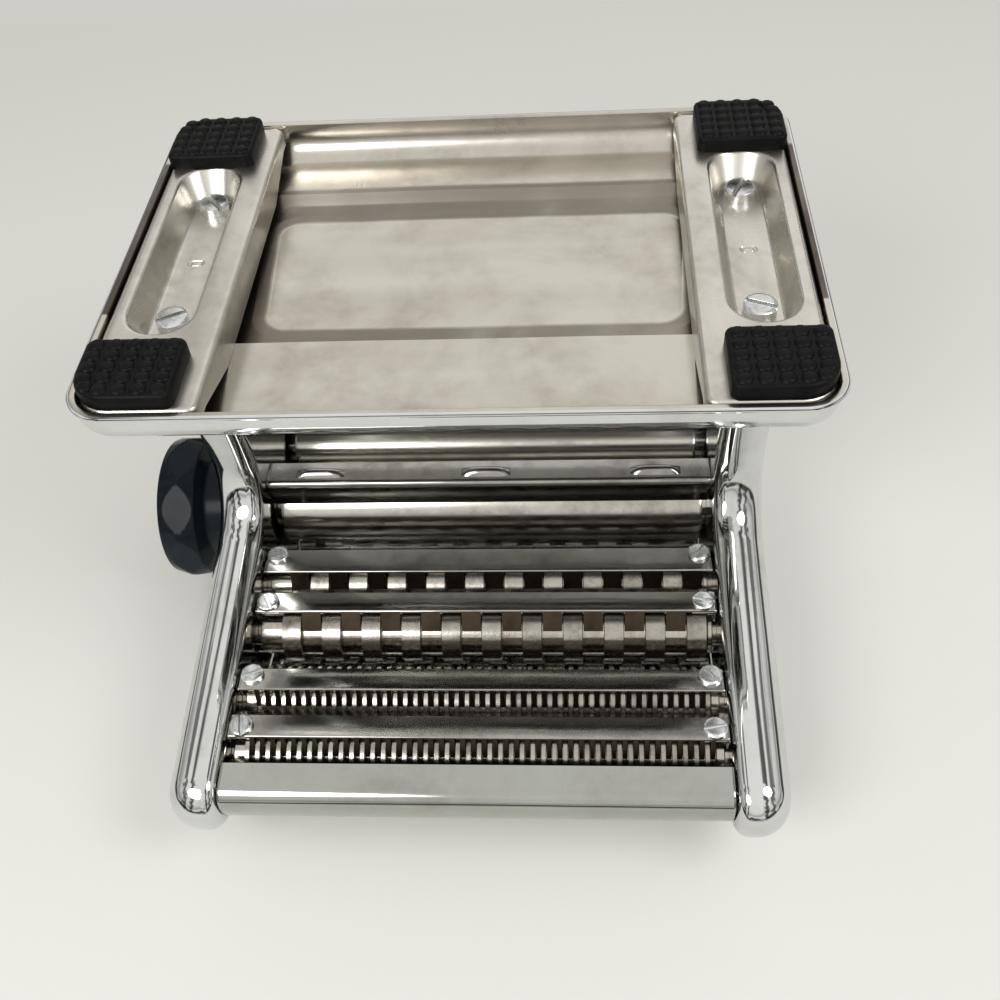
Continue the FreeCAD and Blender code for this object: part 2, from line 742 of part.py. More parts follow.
def make_side_cover(name, side):
    """A domed cover over a frame: hollow inside, with holes for the cranks or for the regulator."""
    body = new_body("side_cover_" + name)
    blank = cheek_blank(body, f"cover_{name}", "cheek_seam", "cheek_outside - cheek_seam", side)
    dress(body, "Fillet", blank, face_edges(blank.Shape, side * number("cheek_outside")), "cover_round")
    cheek_pocket(body, f"cover_hollow_{name}", "cheek_seam", "cover_step", side, "cover_wall_inset")
    cheek_pocket(body, f"cover_deep_{name}", "cheek_seam", "cover_depth", side, "cover_deep_inset")
    wall_start = f"{side} * (cheek_seam + cover_depth - 1)"
    wall = "cheek_outside - cheek_seam - cover_depth + 2"
    low_x, high_x = rail_span(side, "cheek_seam - 1", "cheek_outside - cheek_lug_gap + lug_gap")
    half = "(lug_half_width + lug_gap)"
    for index, y in enumerate(FOOT_SCREW_YS):
        notch = outline(body, f"notch_{index}_{name}", "XY_Plane", f"{ROOF} - 1", [
            (low_x, f"{y} - {half}"), (high_x, f"{y} - {half}"),
            (high_x, f"{y} + {half}"), (low_x, f"{y} + {half}")])
        pocket(body, notch, "lug_height + 1 + lug_gap")
    if side > 0:
        pocket(body, circles(body, "regulator_opening", "YZ_Plane", wall_start, [KNOB_AXIS],
                             "regulator_journal + shaft_hole_gap"), wall, side)
        pocket(body, circles(body, "index_hole", "YZ_Plane", wall_start,
                             [("knob_axis_y", "roller_height + index_circle")], "index_pin_radius"),
               wall, side)
        return body
    pocket(body, circles(body, "crank_holes", "YZ_Plane", wall_start, DRIVEN_AXES,
                         "drive_shaft_radius + socket_hole_gap"), wall, side)
    boss_start = f"{side} * (cheek_seam + cover_depth - boss_height)"
    boss = circles(body, "boss", "YZ_Plane", boss_start, [KNOB_AXIS], "boss_radius")
    pad(body, boss, "boss_height", side)
    pocket(body, circles(body, "boss_bore", "YZ_Plane", boss_start, [KNOB_AXIS],
                         "regulator_journal + running_clearance"), "boss_height", side)
    return body


def folded_sheet(label, path, thickness, half_length, bends=()):
    """A sheet folded along X. The path is one face of its section; the other lies to the left of it.
    A bend is (corner of the path, inner radius)."""
    body = new_body(label)
    sketch = new_sketch(body, label + "_section", "YZ_Plane", f"-({half_length})")
    points = [FreeCAD.Vector(number(y), number(z), 0) for y, z in path]
    gauge = number(thickness)
    count = len(points)
    lefts = []
    for start, stop in zip(points, points[1:]):
        run = (stop - start).normalize()
        lefts.append(FreeCAD.Vector(-run.y, run.x, 0))
    far = [points[0] + lefts[0] * gauge]
    for before, after, point in zip(lefts, lefts[1:], points[1:]):
        middle = (before + after).normalize()
        far.append(point + middle * (gauge / middle.dot(before)))
    far.append(points[-1] + lefts[-1] * gauge)
    loop = points + far[::-1]
    for start, stop in zip(loop, loop[1:] + loop[:1]):
        sketch.addGeometry(Part.LineSegment(start, stop), False)
    for index in range(len(loop)):
        tie(sketch, "Coincident", index, 2, (index + 1) % len(loop), 1)
    for index, (y, z) in enumerate(path):
        tie_size(sketch, "DistanceX", (-1, 1, index, 1), y)
        tie_size(sketch, "DistanceY", (-1, 1, index, 1), z)
    for run in range(count - 1):
        across = 2 * count - 2 - run
        tie(sketch, "Parallel", run, across)
        tie_size(sketch, "Distance", (across, 2, run), thickness)
    tie(sketch, "Perpendicular", 0, 2 * count - 1)
    tie(sketch, "Perpendicular", count - 2, count - 1)
    feature = pad(body, sketch, f"2 * ({half_length})")
    for corner, radius in bends:
        turn = lefts[corner - 1].cross(lefts[corner]).z
        near, away = points[corner], far[corner]
        inner, outer = (away, near) if turn > 0 else (near, away)
        for point, size in ((inner, radius), (outer, f"{radius} + {thickness}")):
            names = edges_where(feature.Shape, lambda edge: lies_along_x(edge, point.x, point.y))
            feature = dress(body, "Fillet", feature, names, size)
    return body


def crest_height(y):
    """The height of the covers' top over a depth in the nose, measured forwards."""
    return (f"shoulder_foot_height - ({y} - shoulder_foot_front) * tan(crest_slope)"
            " - cover_inset / cos(crest_slope)")


def make_covers():
    """The four folded covers between the cheeks, leaving the hopper and two feed slots open."""
    half = "frame_inside - cover_end_gap"
    gauge = "cover_sheet"
    top = "cheek_top - cover_inset"
    rear = "cheek_rear - cover_inset"
    made = [folded_sheet("rear_cover", [
        (rear, "rear_cover_bottom"), (rear, top), ("hopper_rear", top),
        ("hopper_throat_rear", "hopper_throat_height")], gauge, half,
        [(1, "rear_cover_bend"), (2, "cover_bend")])]
    made.append(folded_sheet("shoulder_cover", [
        ("hopper_throat_front", "hopper_throat_height"), ("-hopper_front", top),
        ("-cheek_top_front + shoulder_setback", top),
        ("-shoulder_foot_front + shoulder_setback", crest_height("shoulder_foot_front")),
        ("-wide_slot_rear", crest_height("wide_slot_rear")),
        ("-wide_slot_rear - slot_lip_reach", crest_height("wide_slot_rear") + " - slot_lip_drop")],
        gauge, half, [(1, "cover_bend"), (4, "cover_bend / 2")]))
    made.append(folded_sheet("middle_cover", [
        ("-wide_slot_front + slot_lip_reach", crest_height("wide_slot_front") + " - slot_lip_drop"),
        ("-wide_slot_front", crest_height("wide_slot_front")),
        ("-narrow_slot_rear", crest_height("narrow_slot_rear"))], gauge, half, [(1, "cover_bend / 2")]))
    made.append(folded_sheet("nose_cover", [
        ("-narrow_slot_front", crest_height("narrow_slot_front")),
        ("-nose_cover_front", crest_height("nose_cover_front")),
        ("-nose_cover_front", "nose_cover_bottom + nose_cover_rise"),
        ("-nose_cover_rear", "nose_cover_bottom")], gauge, half,
        [(1, "nose_cover_bend"), (2, "nose_cover_bend")]))
    return made


def make_scrapers():
    """Sheets whose edges lie close under the smooth rollers, with three pressed louvres each."""
    reach = "(roller_radius + scraper_gap)"
    made = []
    for name, start, axis_y, away in (("front", "scraper_front_start", "knob_axis_y", -1),
                                      ("rear", "scraper_rear_start", "rear_roller_y", 1)):
        path = [(start, "scraper_height"), (f"{start} + {away} * scraper_width", "scraper_height"),
                (f"{axis_y} + {away} * {reach} * sin(scraper_angle)",
                 f"roller_height - eccentricity - {reach} * cos(scraper_angle)")]
        body = folded_sheet(f"{name}_roller_scraper", path[::away], "comb_sheet",
                            "frame_inside - cover_end_gap", [(1, "cover_bend / 2")])
        middle = f"{start} + {away} * scraper_width / 2"
        for index, place in enumerate(("-louvre_middle", "0", "louvre_middle")):
            ridge = outline(body, f"louvre_{name}_{index}", "XY_Plane", "scraper_height - louvre_rise", [
                (f"{place} - louvre_half_length", f"{middle} - louvre_half_width"),
                (f"{place} + louvre_half_length", f"{middle} - louvre_half_width"),
                (f"{place} + louvre_half_length", f"{middle} + louvre_half_width"),
                (f"{place} - louvre_half_length", f"{middle} + louvre_half_width")])
            pad(body, ridge, "louvre_rise + 0.2")
        made.append(body)
    return made


def shaft_run(body, name, start, stop, radius, centre=("0", "0")):
    """A round length of a shaft between two places along X."""
    return pad(body, circles(body, name, "YZ_Plane", start, [centre], radius), f"({stop}) - ({start})")


def make_rear_roller():
    """The driven smooth roller, with the socket for the crank in its long end."""
    label = "rear_smooth_roller"
    body = new_body(label, *REAR_AXIS)
    shaft_run(body, "rear_barrel", "-roller_half_length", "roller_half_length", "roller_radius")
    shaft_run(body, "rear_shaft", "-(cheek_outside - socket_end_depth)", "shaft_outside_knob",
              "drive_shaft_radius")
    pocket(body, circles(body, "rear_socket", "YZ_Plane", "-(cheek_outside - socket_end_depth)",
                         [("0", "0")], "socket_radius"), "socket_depth")
    return body


SLEEVE_BORE = "(eccentric_radius + running_clearance)"
SLEEVE_OUTSIDE = f"({SLEEVE_BORE} + sleeve_wall)"
FRONT_AXIS = ("knob_axis_y", "roller_height - eccentricity")


def make_front_roller():
    """The adjustable smooth roller: a tube whose neck reaches through the crank side frame."""
    body = new_body("front_smooth_roller", *FRONT_AXIS)
    shaft_run(body, "front_barrel", "-roller_half_length", "roller_half_length", "roller_radius")
    shaft_run(body, "front_neck", "-gear_outside", "-roller_half_length", "roller_neck_radius")
    pocket(body, circles(body, "front_bore", "YZ_Plane", "-gear_outside - 1", [("0", "0")],
                         f"{SLEEVE_OUTSIDE} + running_clearance"), "gear_outside + roller_half_length + 2")
    return body


def make_sleeves():
    """The two bearing sleeves between the eccentric shaft and the roller that turns on it."""
    made = []
    for name, start in (("knob_side", "roller_half_length - sleeve_end_gap - sleeve_length"),
                        ("crank_side", "-gear_outside + sleeve_end_gap")):
        body = new_body("bearing_sleeve_" + name, *FRONT_AXIS)
        shaft_run(body, "sleeve_" + name, start, f"{start} + sleeve_length", SLEEVE_OUTSIDE)
        pocket(body, circles(body, "sleeve_bore_" + name, "YZ_Plane", f"{start} - 1", [("0", "0")],
                             SLEEVE_BORE), "sleeve_length + 2")
        made.append(body)
    return made


def make_regulator_shaft():
    """The shaft that the knob turns: round in the frames, eccentric in the roller, square in the knob."""
    body = new_body("regulator_shaft", *KNOB_AXIS)
    shaft_run(body, "crank_journal", "-regulator_end", "-eccentric_end", "regulator_journal")
    shaft_run(body, "eccentric", "-eccentric_end", "eccentric_knob_end", "eccentric_radius",
              ("0", "-eccentricity"))
    shaft_run(body, "knob_journal", "eccentric_knob_end", "journal_knob_end", "regulator_journal")
    square = outline(body, "square", "YZ_Plane", "journal_knob_end", [
        ("-square_half", "-square_half"), ("square_half", "-square_half"),
        ("square_half", "square_half"), ("-square_half", "square_half")])
    pad(body, square, "square_end - journal_knob_end")
    shaft_run(body, "nut_thread", "square_end", "square_end + nut_height", "nut_thread_radius")
    return body


def make_nut():
    body = new_body("regulator_nut", *KNOB_AXIS)
    pad(body, polygon(body, "nut_outline", "square_end", "nut_radius", 6), "nut_height")
    pocket(body, circles(body, "nut_bore", "YZ_Plane", "square_end - 1", [("0", "0")],
                         "nut_thread_radius"), "nut_height + 2")
    return body


def make_spring():
    """The space of the coil spring that pushes the knob home."""
    body = new_body("knob_spring", *KNOB_AXIS)
    start = "knob_start + knob_web + spring_gap"
    stop = "square_end - spring_gap"
    shaft_run(body, "spring_outside", start, stop, "spring_radius")
    pocket(body, circles(body, "spring_bore", "YZ_Plane", f"{start} - 1", [("0", "0")], "spring_bore"),
           f"{stop} - ({start}) + 2")
    return body


def make_knob():
    """The regulator knob: a hub, a flared rim with eight facets, and a ring of dimples underneath."""
    body = new_body("regulator_knob", *KNOB_AXIS)
    profile = outline(body, "knob_profile", "XY_Plane", "0", [
        ("knob_start", "0"), ("knob_start + knob_web", "0"),
        ("knob_start + knob_web", "knob_bore_radius"), ("knob_end", "knob_bore_radius"),
        ("knob_end", "knob_end_radius"), ("knob_widest", "knob_radius"),
        ("knob_skirt_start", "knob_skirt_radius"), ("knob_flare_start", "knob_hub_radius"),
        ("knob_start", "knob_hub_radius")])
    turned = body.newObject("PartDesign::Revolution", "knob_turned")
    turned.Profile = profile
    turned.ReferenceAxis = (origin_item(body, "X_Axis"), [""])
    turned.Angle = 360
    settle(turned)
    facet = pocket(body, outline(body, "facet", "YZ_Plane", "knob_flare_start", [
        ("knob_facet_distance", "-knob_radius / 2"), ("knob_radius + 2", "-knob_radius / 2"),
        ("knob_radius + 2", "knob_radius / 2"), ("knob_facet_distance", "knob_radius / 2")]),
        "knob_end - knob_flare_start + 1")
    round_pattern(body, facet, "knob_facets")
    pocket(body, outline(body, "knob_square", "YZ_Plane", "knob_start - 1", [
        ("-(square_half + running_clearance)", "-(square_half + running_clearance)"),
        ("square_half + running_clearance", "-(square_half + running_clearance)"),
        ("square_half + running_clearance", "square_half + running_clearance"),
        ("-(square_half + running_clearance)", "square_half + running_clearance")]), "knob_web + 2")
    for stop in range(int(number("index_stops"))):
        angle = f"(90 + ({stop} - (index_stops - 1) / 2) * index_step)"
        corners = [(f"index_circle * cos({angle}) + dimple_radius * cos({60 * corner})",
                    f"index_circle * sin({angle}) + dimple_radius * sin({60 * corner})")
                   for corner in range(6)]
        pocket(body, outline(body, f"dimple_{stop}", "YZ_Plane", "knob_start", corners), "dimple_depth")
    return body


def make_knob_cap():
    body = new_body("knob_cap", *KNOB_AXIS)
    shaft_run(body, "cap", "knob_cap_start", "knob_end", "knob_bore_radius")
    return body


def make_index_pin():
    """The pin in the knob side cover that marks the regulator's stops."""
    body = new_body("index_pin", "knob_axis_y", "roller_height + index_circle")
    stop = "knob_start - index_pin_gap"
    shaft_run(body, "pin", f"{stop} - index_pin_length", stop, "index_pin_radius")
    return body


def make_cutter(pair, role):
    """A cutter roller: rings with gaps as wide as the rings of its partner, and a collar at each end."""
    body = new_body(f"{pair}_cutter_{role}", *CUTTER_AXES[pair, role])
    key = f"{pair}_{role}"
    ring = f"{pair}_ring"
    driven = role == "driven"
    radius = "drive_shaft_radius" if driven else "partner_shaft_radius"
    crank_end = "-(cheek_outside - socket_end_depth)" if driven else "-gear_outside"
    shaft_run(body, f"shaft_{key}", crank_end, "shaft_outside_knob", radius)
    sides = int(number(f"ring_sides_{pair}"))
    last_edge = f"({pair}_first_edge - (2 * {pair}_ring_count - 1 + {narrow_extra(pair)}) * {ring})"
    core = polygon(body, f"core_{key}", last_edge, "cutter_core", sides)
    pad(body, core, f"{pair}_first_edge - {last_edge}")
    shift = ring if driven else "0"
    count = f"{pair}_ring_count"
    if driven and pair == "wide":
        count = "(wide_ring_count - 1)"
    start = f"{pair}_first_edge - {shift} - {ring} + ring_side_gap"
    disc = pad(body, polygon(body, f"ring_{key}", start, "ring_radius", sides),
               f"{ring} - 2 * ring_side_gap")
    lengthwise_pattern(body, disc, f"2 * {ring}", count)
    shaft_run(body, f"knob_collar_{key}", f"{pair}_first_edge + collar_gap", "collar_outside",
              "collar_radius")
    shaft_run(body, f"crank_collar_{key}", "-collar_outside", f"{last_edge} - collar_gap",
              "collar_radius")
    if driven:
        pocket(body, circles(body, f"socket_{key}", "YZ_Plane", crank_end, [("0", "0")], "socket_radius"),
               "socket_depth")
    return body


def narrow_extra(pair):
    """The narrow pair ends on a ring of the driven roller, one ring further than the wide pair."""
    return 1 if pair == "narrow" else 0


def involute(angle):
    return math.tan(angle) - angle


def make_gear(label, axis, kind, distance, teeth, bore, turn):
    """A spur gear: a disc with one gap between teeth cut from it and repeated all round. The flanks
    run through points of the involute, and turn is where the first gap's middle lies in degrees."""
    body = new_body(label, *axis)
    count = int(number(teeth))
    pitch = number(distance) / 2
    pressure = math.radians(number(f"{kind}_tooth_angle"))
    tip = 1 + 2 * number(f"{kind}_tooth_tip") / count
    root = 1 - 2 * number(f"{kind}_tooth_root") / count
    tooth = math.pi / (2 * count) - number(f"{kind}_tooth_slack") / (4 * pitch) + involute(pressure)

    def gap_half(share):
        flank = involute(math.acos(min(1, math.cos(pressure) / share)))
        return math.degrees(math.pi / count - tooth + flank)

    shaft_run(body, f"{label}_disc", "-gear_outside", "-gear_inside", f"({distance}) / 2 * {tip}")
    shares = [root, 1.0, tip, tip + 0.1]
    half_angles = [gap_half(share) for share in shares]
    side = [(f"({distance}) / 2 * {share} * cos({turn} + {angle})",
             f"({distance}) / 2 * {share} * sin({turn} + {angle})")
            for share, angle in zip(shares, half_angles)]
    other = [(f"({distance}) / 2 * {share} * cos({turn} - {angle})",
              f"({distance}) / 2 * {share} * sin({turn} - {angle})")
             for share, angle in zip(shares, half_angles)]
    gap = pocket(body, outline(body, f"{label}_gap", "YZ_Plane", "-gear_outside - 1", other + side[::-1]),
                 "gear_outside - gear_inside + 2")
    round_pattern(body, gap, teeth)
    pocket(body, circles(body, f"{label}_bore", "YZ_Plane", "-gear_outside - 1", [("0", "0")], bore),
           "gear_outside - gear_inside + 2")
    return body


def make_gears():
    """Three pairs of equal gears in the crank side cheek."""
    half_tooth = "180 / roller_gear_teeth"
    reach = "rear_roller_y - knob_axis_y"
    lead = "eccentricity / (rear_roller_y - knob_axis_y) * 180 / pi"
    made = [make_gear("rear_roller_gear", REAR_AXIS, "roller", reach, "roller_gear_teeth",
                      "drive_shaft_radius", half_tooth),
            make_gear("front_roller_gear", FRONT_AXIS, "roller", reach, "roller_gear_teeth",
                      "roller_neck_radius", lead)]
    for pair in ("wide", "narrow"):
        made.append(make_gear(f"{pair}_driven_gear", CUTTER_AXES[pair, "driven"], "cutter",
                              "cutter_spacing", "cutter_gear_teeth", "drive_shaft_radius",
                              "180 / cutter_gear_teeth"))
        made.append(make_gear(f"{pair}_partner_gear", CUTTER_AXES[pair, "partner"], "cutter",
                              "cutter_spacing", "cutter_gear_teeth", "partner_shaft_radius", "0"))
    return made


# The four comb plates: name, the cutter each strips, which of its pair's two plates it is, how far its
# first finger stands from the cutter's first edge, and 1 if it has a finger beyond the last ring
COMBS = [
    ("wide_comb_rear", ("wide", "driven"), "rear", "0", 1),
    ("wide_comb_front", ("wide", "partner"), "front", "wide_ring", 0),
    ("narrow_comb_rear", ("narrow", "driven"), "rear", "0", 0),
    ("narrow_comb_front", ("narrow", "partner"), "front", "narrow_ring", 0),
]


def make_comb(label, cutter, place, shift, extra):
    """A plate across the cheeks whose fingers rise into the gaps of one cutter to strip it."""
    pair = cutter[0]
    ring = f"{pair}_ring"
    body = new_body(label)
    back, edge = f"-{label}_back", f"-{label}_edge"
    pad(body, outline(body, f"{label}_plate", "XY_Plane", "comb_height", [
        ("-comb_half_length", edge), ("comb_half_length", edge),
        ("comb_half_length", back), ("-comb_half_length", back)]), "comb_sheet")
    tip_y = f"{CUTTER_AXES[cutter][0]} - finger_{place}_reach"
    tip_z = f"cutter_height - finger_{place}_drop"
    width = f"({ring} - 2 * finger_side_gap * {finger_share(pair)})"
    start = f"{pair}_first_edge - {shift} - {ring} + finger_side_gap * {finger_share(pair)}"
    finger = pad(body, outline(body, f"{label}_finger", "YZ_Plane", start, [
        (edge, "comb_height"), (f"{edge} + finger_thickness", "comb_height"),
        (f"{tip_y} + finger_thickness", tip_z), (tip_y, tip_z)]), width)
    count = f"({pair}_ring_count - {1 - extra})" if pair == "wide" else f"{pair}_ring_count"
    lengthwise_pattern(body, finger, f"2 * {ring}", count)
    middle = f"({back}) - screw_setback_{place}"
    for index, side in enumerate((1, -1)):
        centre = f"{side} * comb_screw_x"
        slot = outline(body, f"{label}_slot_{index}", "XY_Plane", "comb_height - 1", [
            (f"{centre} - slot_half_length", f"{middle} - comb_screw_radius - hole_clearance"),
            (f"{centre} + slot_half_length", f"{middle} - comb_screw_radius - hole_clearance"),
            (f"{centre} + slot_half_length", f"{middle} + comb_screw_radius + hole_clearance"),
            (f"{centre} - slot_half_length", f"{middle} + comb_screw_radius + hole_clearance")])
        pocket(body, slot, "comb_sheet + 2")
    return body


def finger_share(pair):
    """Fingers in the wide gaps keep clear by the full side gap, those in the narrow ones by half."""
    return 1 if pair == "wide" else 0.5


# Groups of like pieces made from plain solids

def solid(kind, name, **sizes):
    """A plain solid with its sizes and, under place, its position bound to the sheet."""
    item = doc.addObject(kind, name)
    place = sizes.pop("place")
    for size, text in sizes.items():
        bind(item, size, text)
    for axis, text in zip("xyz", place):
        bind(item, f"Placement.Base.{axis}", text)
    return item


def bar(name, radius, height, place, sides=12):
    """A rod with a few flat sides, upright."""
    item = solid("Part::Prism", name, Circumradius=radius, Height=height, place=place)
    item.Polygon = sides
    return item


def along_x(item):
    item.Placement.Rotation = FreeCAD.Rotation(FreeCAD.Vector(0, 1, 0), 90)
    return item


def cut(name, base, tools):
    """The base with every tool taken out of it."""
    for index, tool in enumerate(tools):
        step = doc.addObject("Part::Cut", f"{name}_cut_{index}")
        step.Base = base
        step.Tool = tool
        base = step
    return base


def fuse(name, pieces):
    joined = doc.addObject("Part::MultiFuse", name)
    joined.Shapes = pieces
    return joined


def group(label, pieces):
    """Separate like pieces that share one file."""
    together = doc.addObject("Part::Compound", label)
    together.Links = pieces
    together.Label = label
    doc.recompute()
    return together


def make_blocks():
    """A bearing block on the outer face of each frame for every shaft that runs in it."""
    pieces = []
    for name, side in SIDES:
        low_x, _ = rail_span(side, "frame_inside + cheek_sheet",
                             "frame_inside + cheek_sheet + block_length")
        axes = [(axis, "drive_shaft_radius") for axis in DRIVEN_AXES]
        axes += [(axis, "partner_shaft_radius") for axis in PARTNER_AXES]
        if side > 0:
            axes.append((KNOB_AXIS, "regulator_journal"))
        for index, ((y, z), radius) in enumerate(axes):
            key = f"block_{name}_{index}"
            block = solid("Part::Box", key, Length="block_length", Width="2 * block_half_side",
                          Height="2 * block_half_side",
                          place=(low_x, f"{y} - block_half_side", f"{z} - block_half_side"))
            bore = along_x(solid("Part::Cylinder", f"{key}_bore", Radius=f"{radius} + running_clearance",
                                 Height="block_length + 2", place=(f"{low_x} - 1", y, z)))
            pieces.append(cut(key, block, [bore]))
    return group("bearing_blocks", pieces)


def make_tie_rods():
    """Three rods across the frames, each peened over at both ends."""
    pieces = []
    for index, (y, z) in enumerate(TIE_AXES):
        rod = along_x(bar(f"rod_{index}", "tie_radius", "2 * (frame_inside + cheek_sheet)",
                          ("-(frame_inside + cheek_sheet)", y, z)))
        heads = [along_x(bar(f"rivet_{index}_{name}", "rivet_radius", "rivet_height", (x, y, z)))
                 for name, x in (("knob", "frame_inside + cheek_sheet"),
                                 ("crank", "-(frame_inside + cheek_sheet + rivet_height)"))]
        pieces.append(fuse(f"tie_rod_{index}", [rod] + heads))
    return group("tie_rods", pieces)


def make_rail_screws():
    """Slotted cheese-head screws through the rails and the pan into the frames' lugs."""
    pieces = []
    seat = "rim_height + rail_lift + trough_depth"
    for name, side in SIDES:
        for index, y in enumerate(FOOT_SCREW_YS):
            key = f"rail_screw_{name}_{index}"
            x = f"{side} * trough_middle"
            head = bar(f"{key}_head", "rail_screw_head", "rail_screw_head_height",
                       (x, y, f"{seat} - rail_screw_head_height"), 16)
            shank = bar(f"{key}_shank", "rail_screw_radius", "rail_screw_length", (x, y, seat))
            slot = solid("Part::Box", f"{key}_slot", Length="screw_slot_width",
                         Width="2 * rail_screw_head + 2", Height="screw_slot_depth + 1",
                         place=(f"{x} - screw_slot_width / 2", f"{y} - rail_screw_head - 1",
                                f"{seat} - rail_screw_head_height - 1"))
            pieces.append(cut(key, fuse(f"{key}_whole", [head, shank]), [slot]))
    return group("rail_screws", pieces)


def comb_screw_places():
    """Where the screws of the four comb plates stand."""
    return [(f"{side} * comb_screw_x", side, f"(-{label}_back - screw_setback_{place})")
            for label, _, place, _, _ in COMBS for side in (1, -1)]


def make_comb_screws():
    pieces = []
    for index, (x, _, y) in enumerate(comb_screw_places()):
        head = bar(f"comb_screw_{index}_head", "comb_screw_head", "comb_screw_head_height",
                   (x, y, "comb_height - comb_screw_head_height"))
        shank = bar(f"comb_screw_{index}_shank", "comb_screw_radius", "comb_sheet + bracket_sheet",
                    (x, y, "comb_height"), 8)
        pieces.append(fuse(f"comb_screw_{index}", [head, shank]))
    return group("comb_screws", pieces)


def make_comb_brackets():
    """Small angles on the frames that hold the ends of the comb plates."""
    pieces = []
    for index, (x, side, y) in enumerate(comb_screw_places()):
        low_x, high_x = rail_span(side, "bracket_inner", "frame_inside")
        floor = "comb_height + comb_sheet"
        plate = solid("Part::Box", f"bracket_{index}_plate", Length="frame_inside - bracket_inner",
                      Width="2 * bracket_half_width", Height="bracket_sheet",
                      place=(low_x, f"{y} - bracket_half_width", floor))
        tab_x = "frame_inside - bracket_sheet" if side > 0 else "-frame_inside"
        tab = solid("Part::Box", f"bracket_{index}_tab", Length="bracket_sheet",
                    Width="2 * bracket_half_width", Height=f"bracket_top - ({floor})",
                    place=(tab_x, f"{y} - bracket_half_width", floor))
        notch = solid("Part::Box", f"bracket_{index}_notch",
                      Length="2 * (comb_screw_radius + hole_clearance)",
                      Width="2 * (comb_screw_radius + hole_clearance)", Height="bracket_sheet + 2",
                      place=(f"{x} - comb_screw_radius - hole_clearance",
                             f"{y} - comb_screw_radius - hole_clearance", f"{floor} - 1"))
        pieces.append(cut(f"bracket_{index}", fuse(f"bracket_{index}_whole", [plate, tab]), [notch]))
    return group("comb_brackets", pieces)


# Build everything

parts = [make_base_pan()]
for side_name, side_sign in SIDES:
    parts.append(make_foot_rail(side_name, side_sign))
    parts.extend(make_foot(side_name, side_sign, end_name, end_sign) for end_name, end_sign in ENDS)
    parts.append(make_side_frame(side_name, side_sign))
    parts.append(make_side_cover(side_name, side_sign))
parts.extend(make_covers())
parts.extend(make_scrapers())
parts.extend(make_comb(*comb) for comb in COMBS)
parts.extend([make_front_roller(), make_rear_roller(), make_regulator_shaft(), make_nut(), make_spring(),
              make_knob(), make_knob_cap(), make_index_pin()])
parts.extend(make_sleeves())
parts.extend(make_cutter(*cutter) for cutter in CUTTER_AXES)
parts.extend(make_gears())
parts.extend([make_blocks(), make_tie_rods(), make_rail_screws(), make_comb_screws(),
              make_comb_brackets()])
doc.recompute()

for item in doc.Objects:
    if "Invalid" in item.State or "Error" in item.State:
        raise RuntimeError(f"{item.Name} did not build: {item.State}")
for piece in parts:
    if piece.Shape.isNull() or not piece.Shape.isValid():
        raise RuntimeError(f"{piece.Label} has no valid shape")

os.makedirs("parts", exist_ok=True)
for piece in parts:
    piece.Shape.exportStep(f"parts/{piece.Label}.step")
print(len(parts), "pieces written")
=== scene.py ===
import math

import bmesh
import bpy
import numpy as np
from mathutils import Matrix, Vector
from mathutils.geometry import tessellate_polygon


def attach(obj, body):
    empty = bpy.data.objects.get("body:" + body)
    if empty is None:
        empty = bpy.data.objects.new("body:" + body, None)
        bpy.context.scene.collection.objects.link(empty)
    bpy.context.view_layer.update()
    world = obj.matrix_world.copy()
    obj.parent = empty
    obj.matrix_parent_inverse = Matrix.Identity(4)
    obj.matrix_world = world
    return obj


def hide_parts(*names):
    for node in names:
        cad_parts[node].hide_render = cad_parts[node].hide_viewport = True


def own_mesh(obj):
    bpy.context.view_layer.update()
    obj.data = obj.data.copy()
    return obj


bl_info = {
    "name": "Pasta machine",
    "version": (1, 0, 0),
    "blender": (4, 5, 0),
    "location": "3D View > Sidebar > Pasta machine",
    "description": "Dresses the packed model of a hand-cranked pasta machine in chrome, steel and rubber",
    "category": "Add Mesh",
}

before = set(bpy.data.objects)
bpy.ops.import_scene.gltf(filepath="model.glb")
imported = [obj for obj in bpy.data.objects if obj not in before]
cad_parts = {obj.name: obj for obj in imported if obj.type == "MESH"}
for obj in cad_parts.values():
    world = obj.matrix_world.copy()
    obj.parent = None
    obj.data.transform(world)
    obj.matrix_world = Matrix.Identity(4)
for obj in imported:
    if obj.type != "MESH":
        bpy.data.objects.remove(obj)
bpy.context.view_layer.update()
MM = 0.001

# Sizes that several pieces share, in millimetres
GAUGE = 1.2
PAN_HALF = (94.95, 65.75)
PAN_CORNER = 10.0
PAN_ROUND = 8.5
LEDGE = 17.0
ROOF = 20.5
PLATEAU_HALF = (94.0, 35.6)
PLATEAU_MIDDLE = 7.4
PLATEAU_CORNER = 6.0
PLATEAU_SLOPE = 3.2
RAIL_X = (61.5, 93.1)
RAIL_HALF_LENGTH = 64.0
RAIL_Z = 5.3
RAIL_SCREW_YS = (-21.3, 32.5)
TROUGH_X = 79.4
TROUGH_Z = 14.0
FRAME_X = 74.6
SEAM_X = 80.3
COVER_X = 91.0
SHEET_HALF = 74.4
CREST_START = (29.5, 144.75)
CREST_SLOPE = math.tan(math.radians(7.87))
COVER_SINK = 2.5
ROLLER = 14.0
REAR_AXIS = (33.0, 119.5)
FRONT_AXIS = (3.5, 118.7)
KNOB_AXIS = (3.5, 119.5)
KNOB_X = (91.5, 113.8)
PIN_REACH = 13
PIN_AXIS = (KNOB_AXIS[0], KNOB_AXIS[1] + PIN_REACH)
CUTTER_AXES = {"wide_driven": (-30.0, 123.0), "wide_partner": (-49.0, 123.0),
               "narrow_driven": (-74.5, 123.0), "narrow_partner": (-93.5, 123.0)}
DRIVEN_AXES = (REAR_AXIS, CUTTER_AXES["wide_driven"], CUTTER_AXES["narrow_driven"])
PARTNER_AXES = (CUTTER_AXES["wide_partner"], CUTTER_AXES["narrow_partner"])
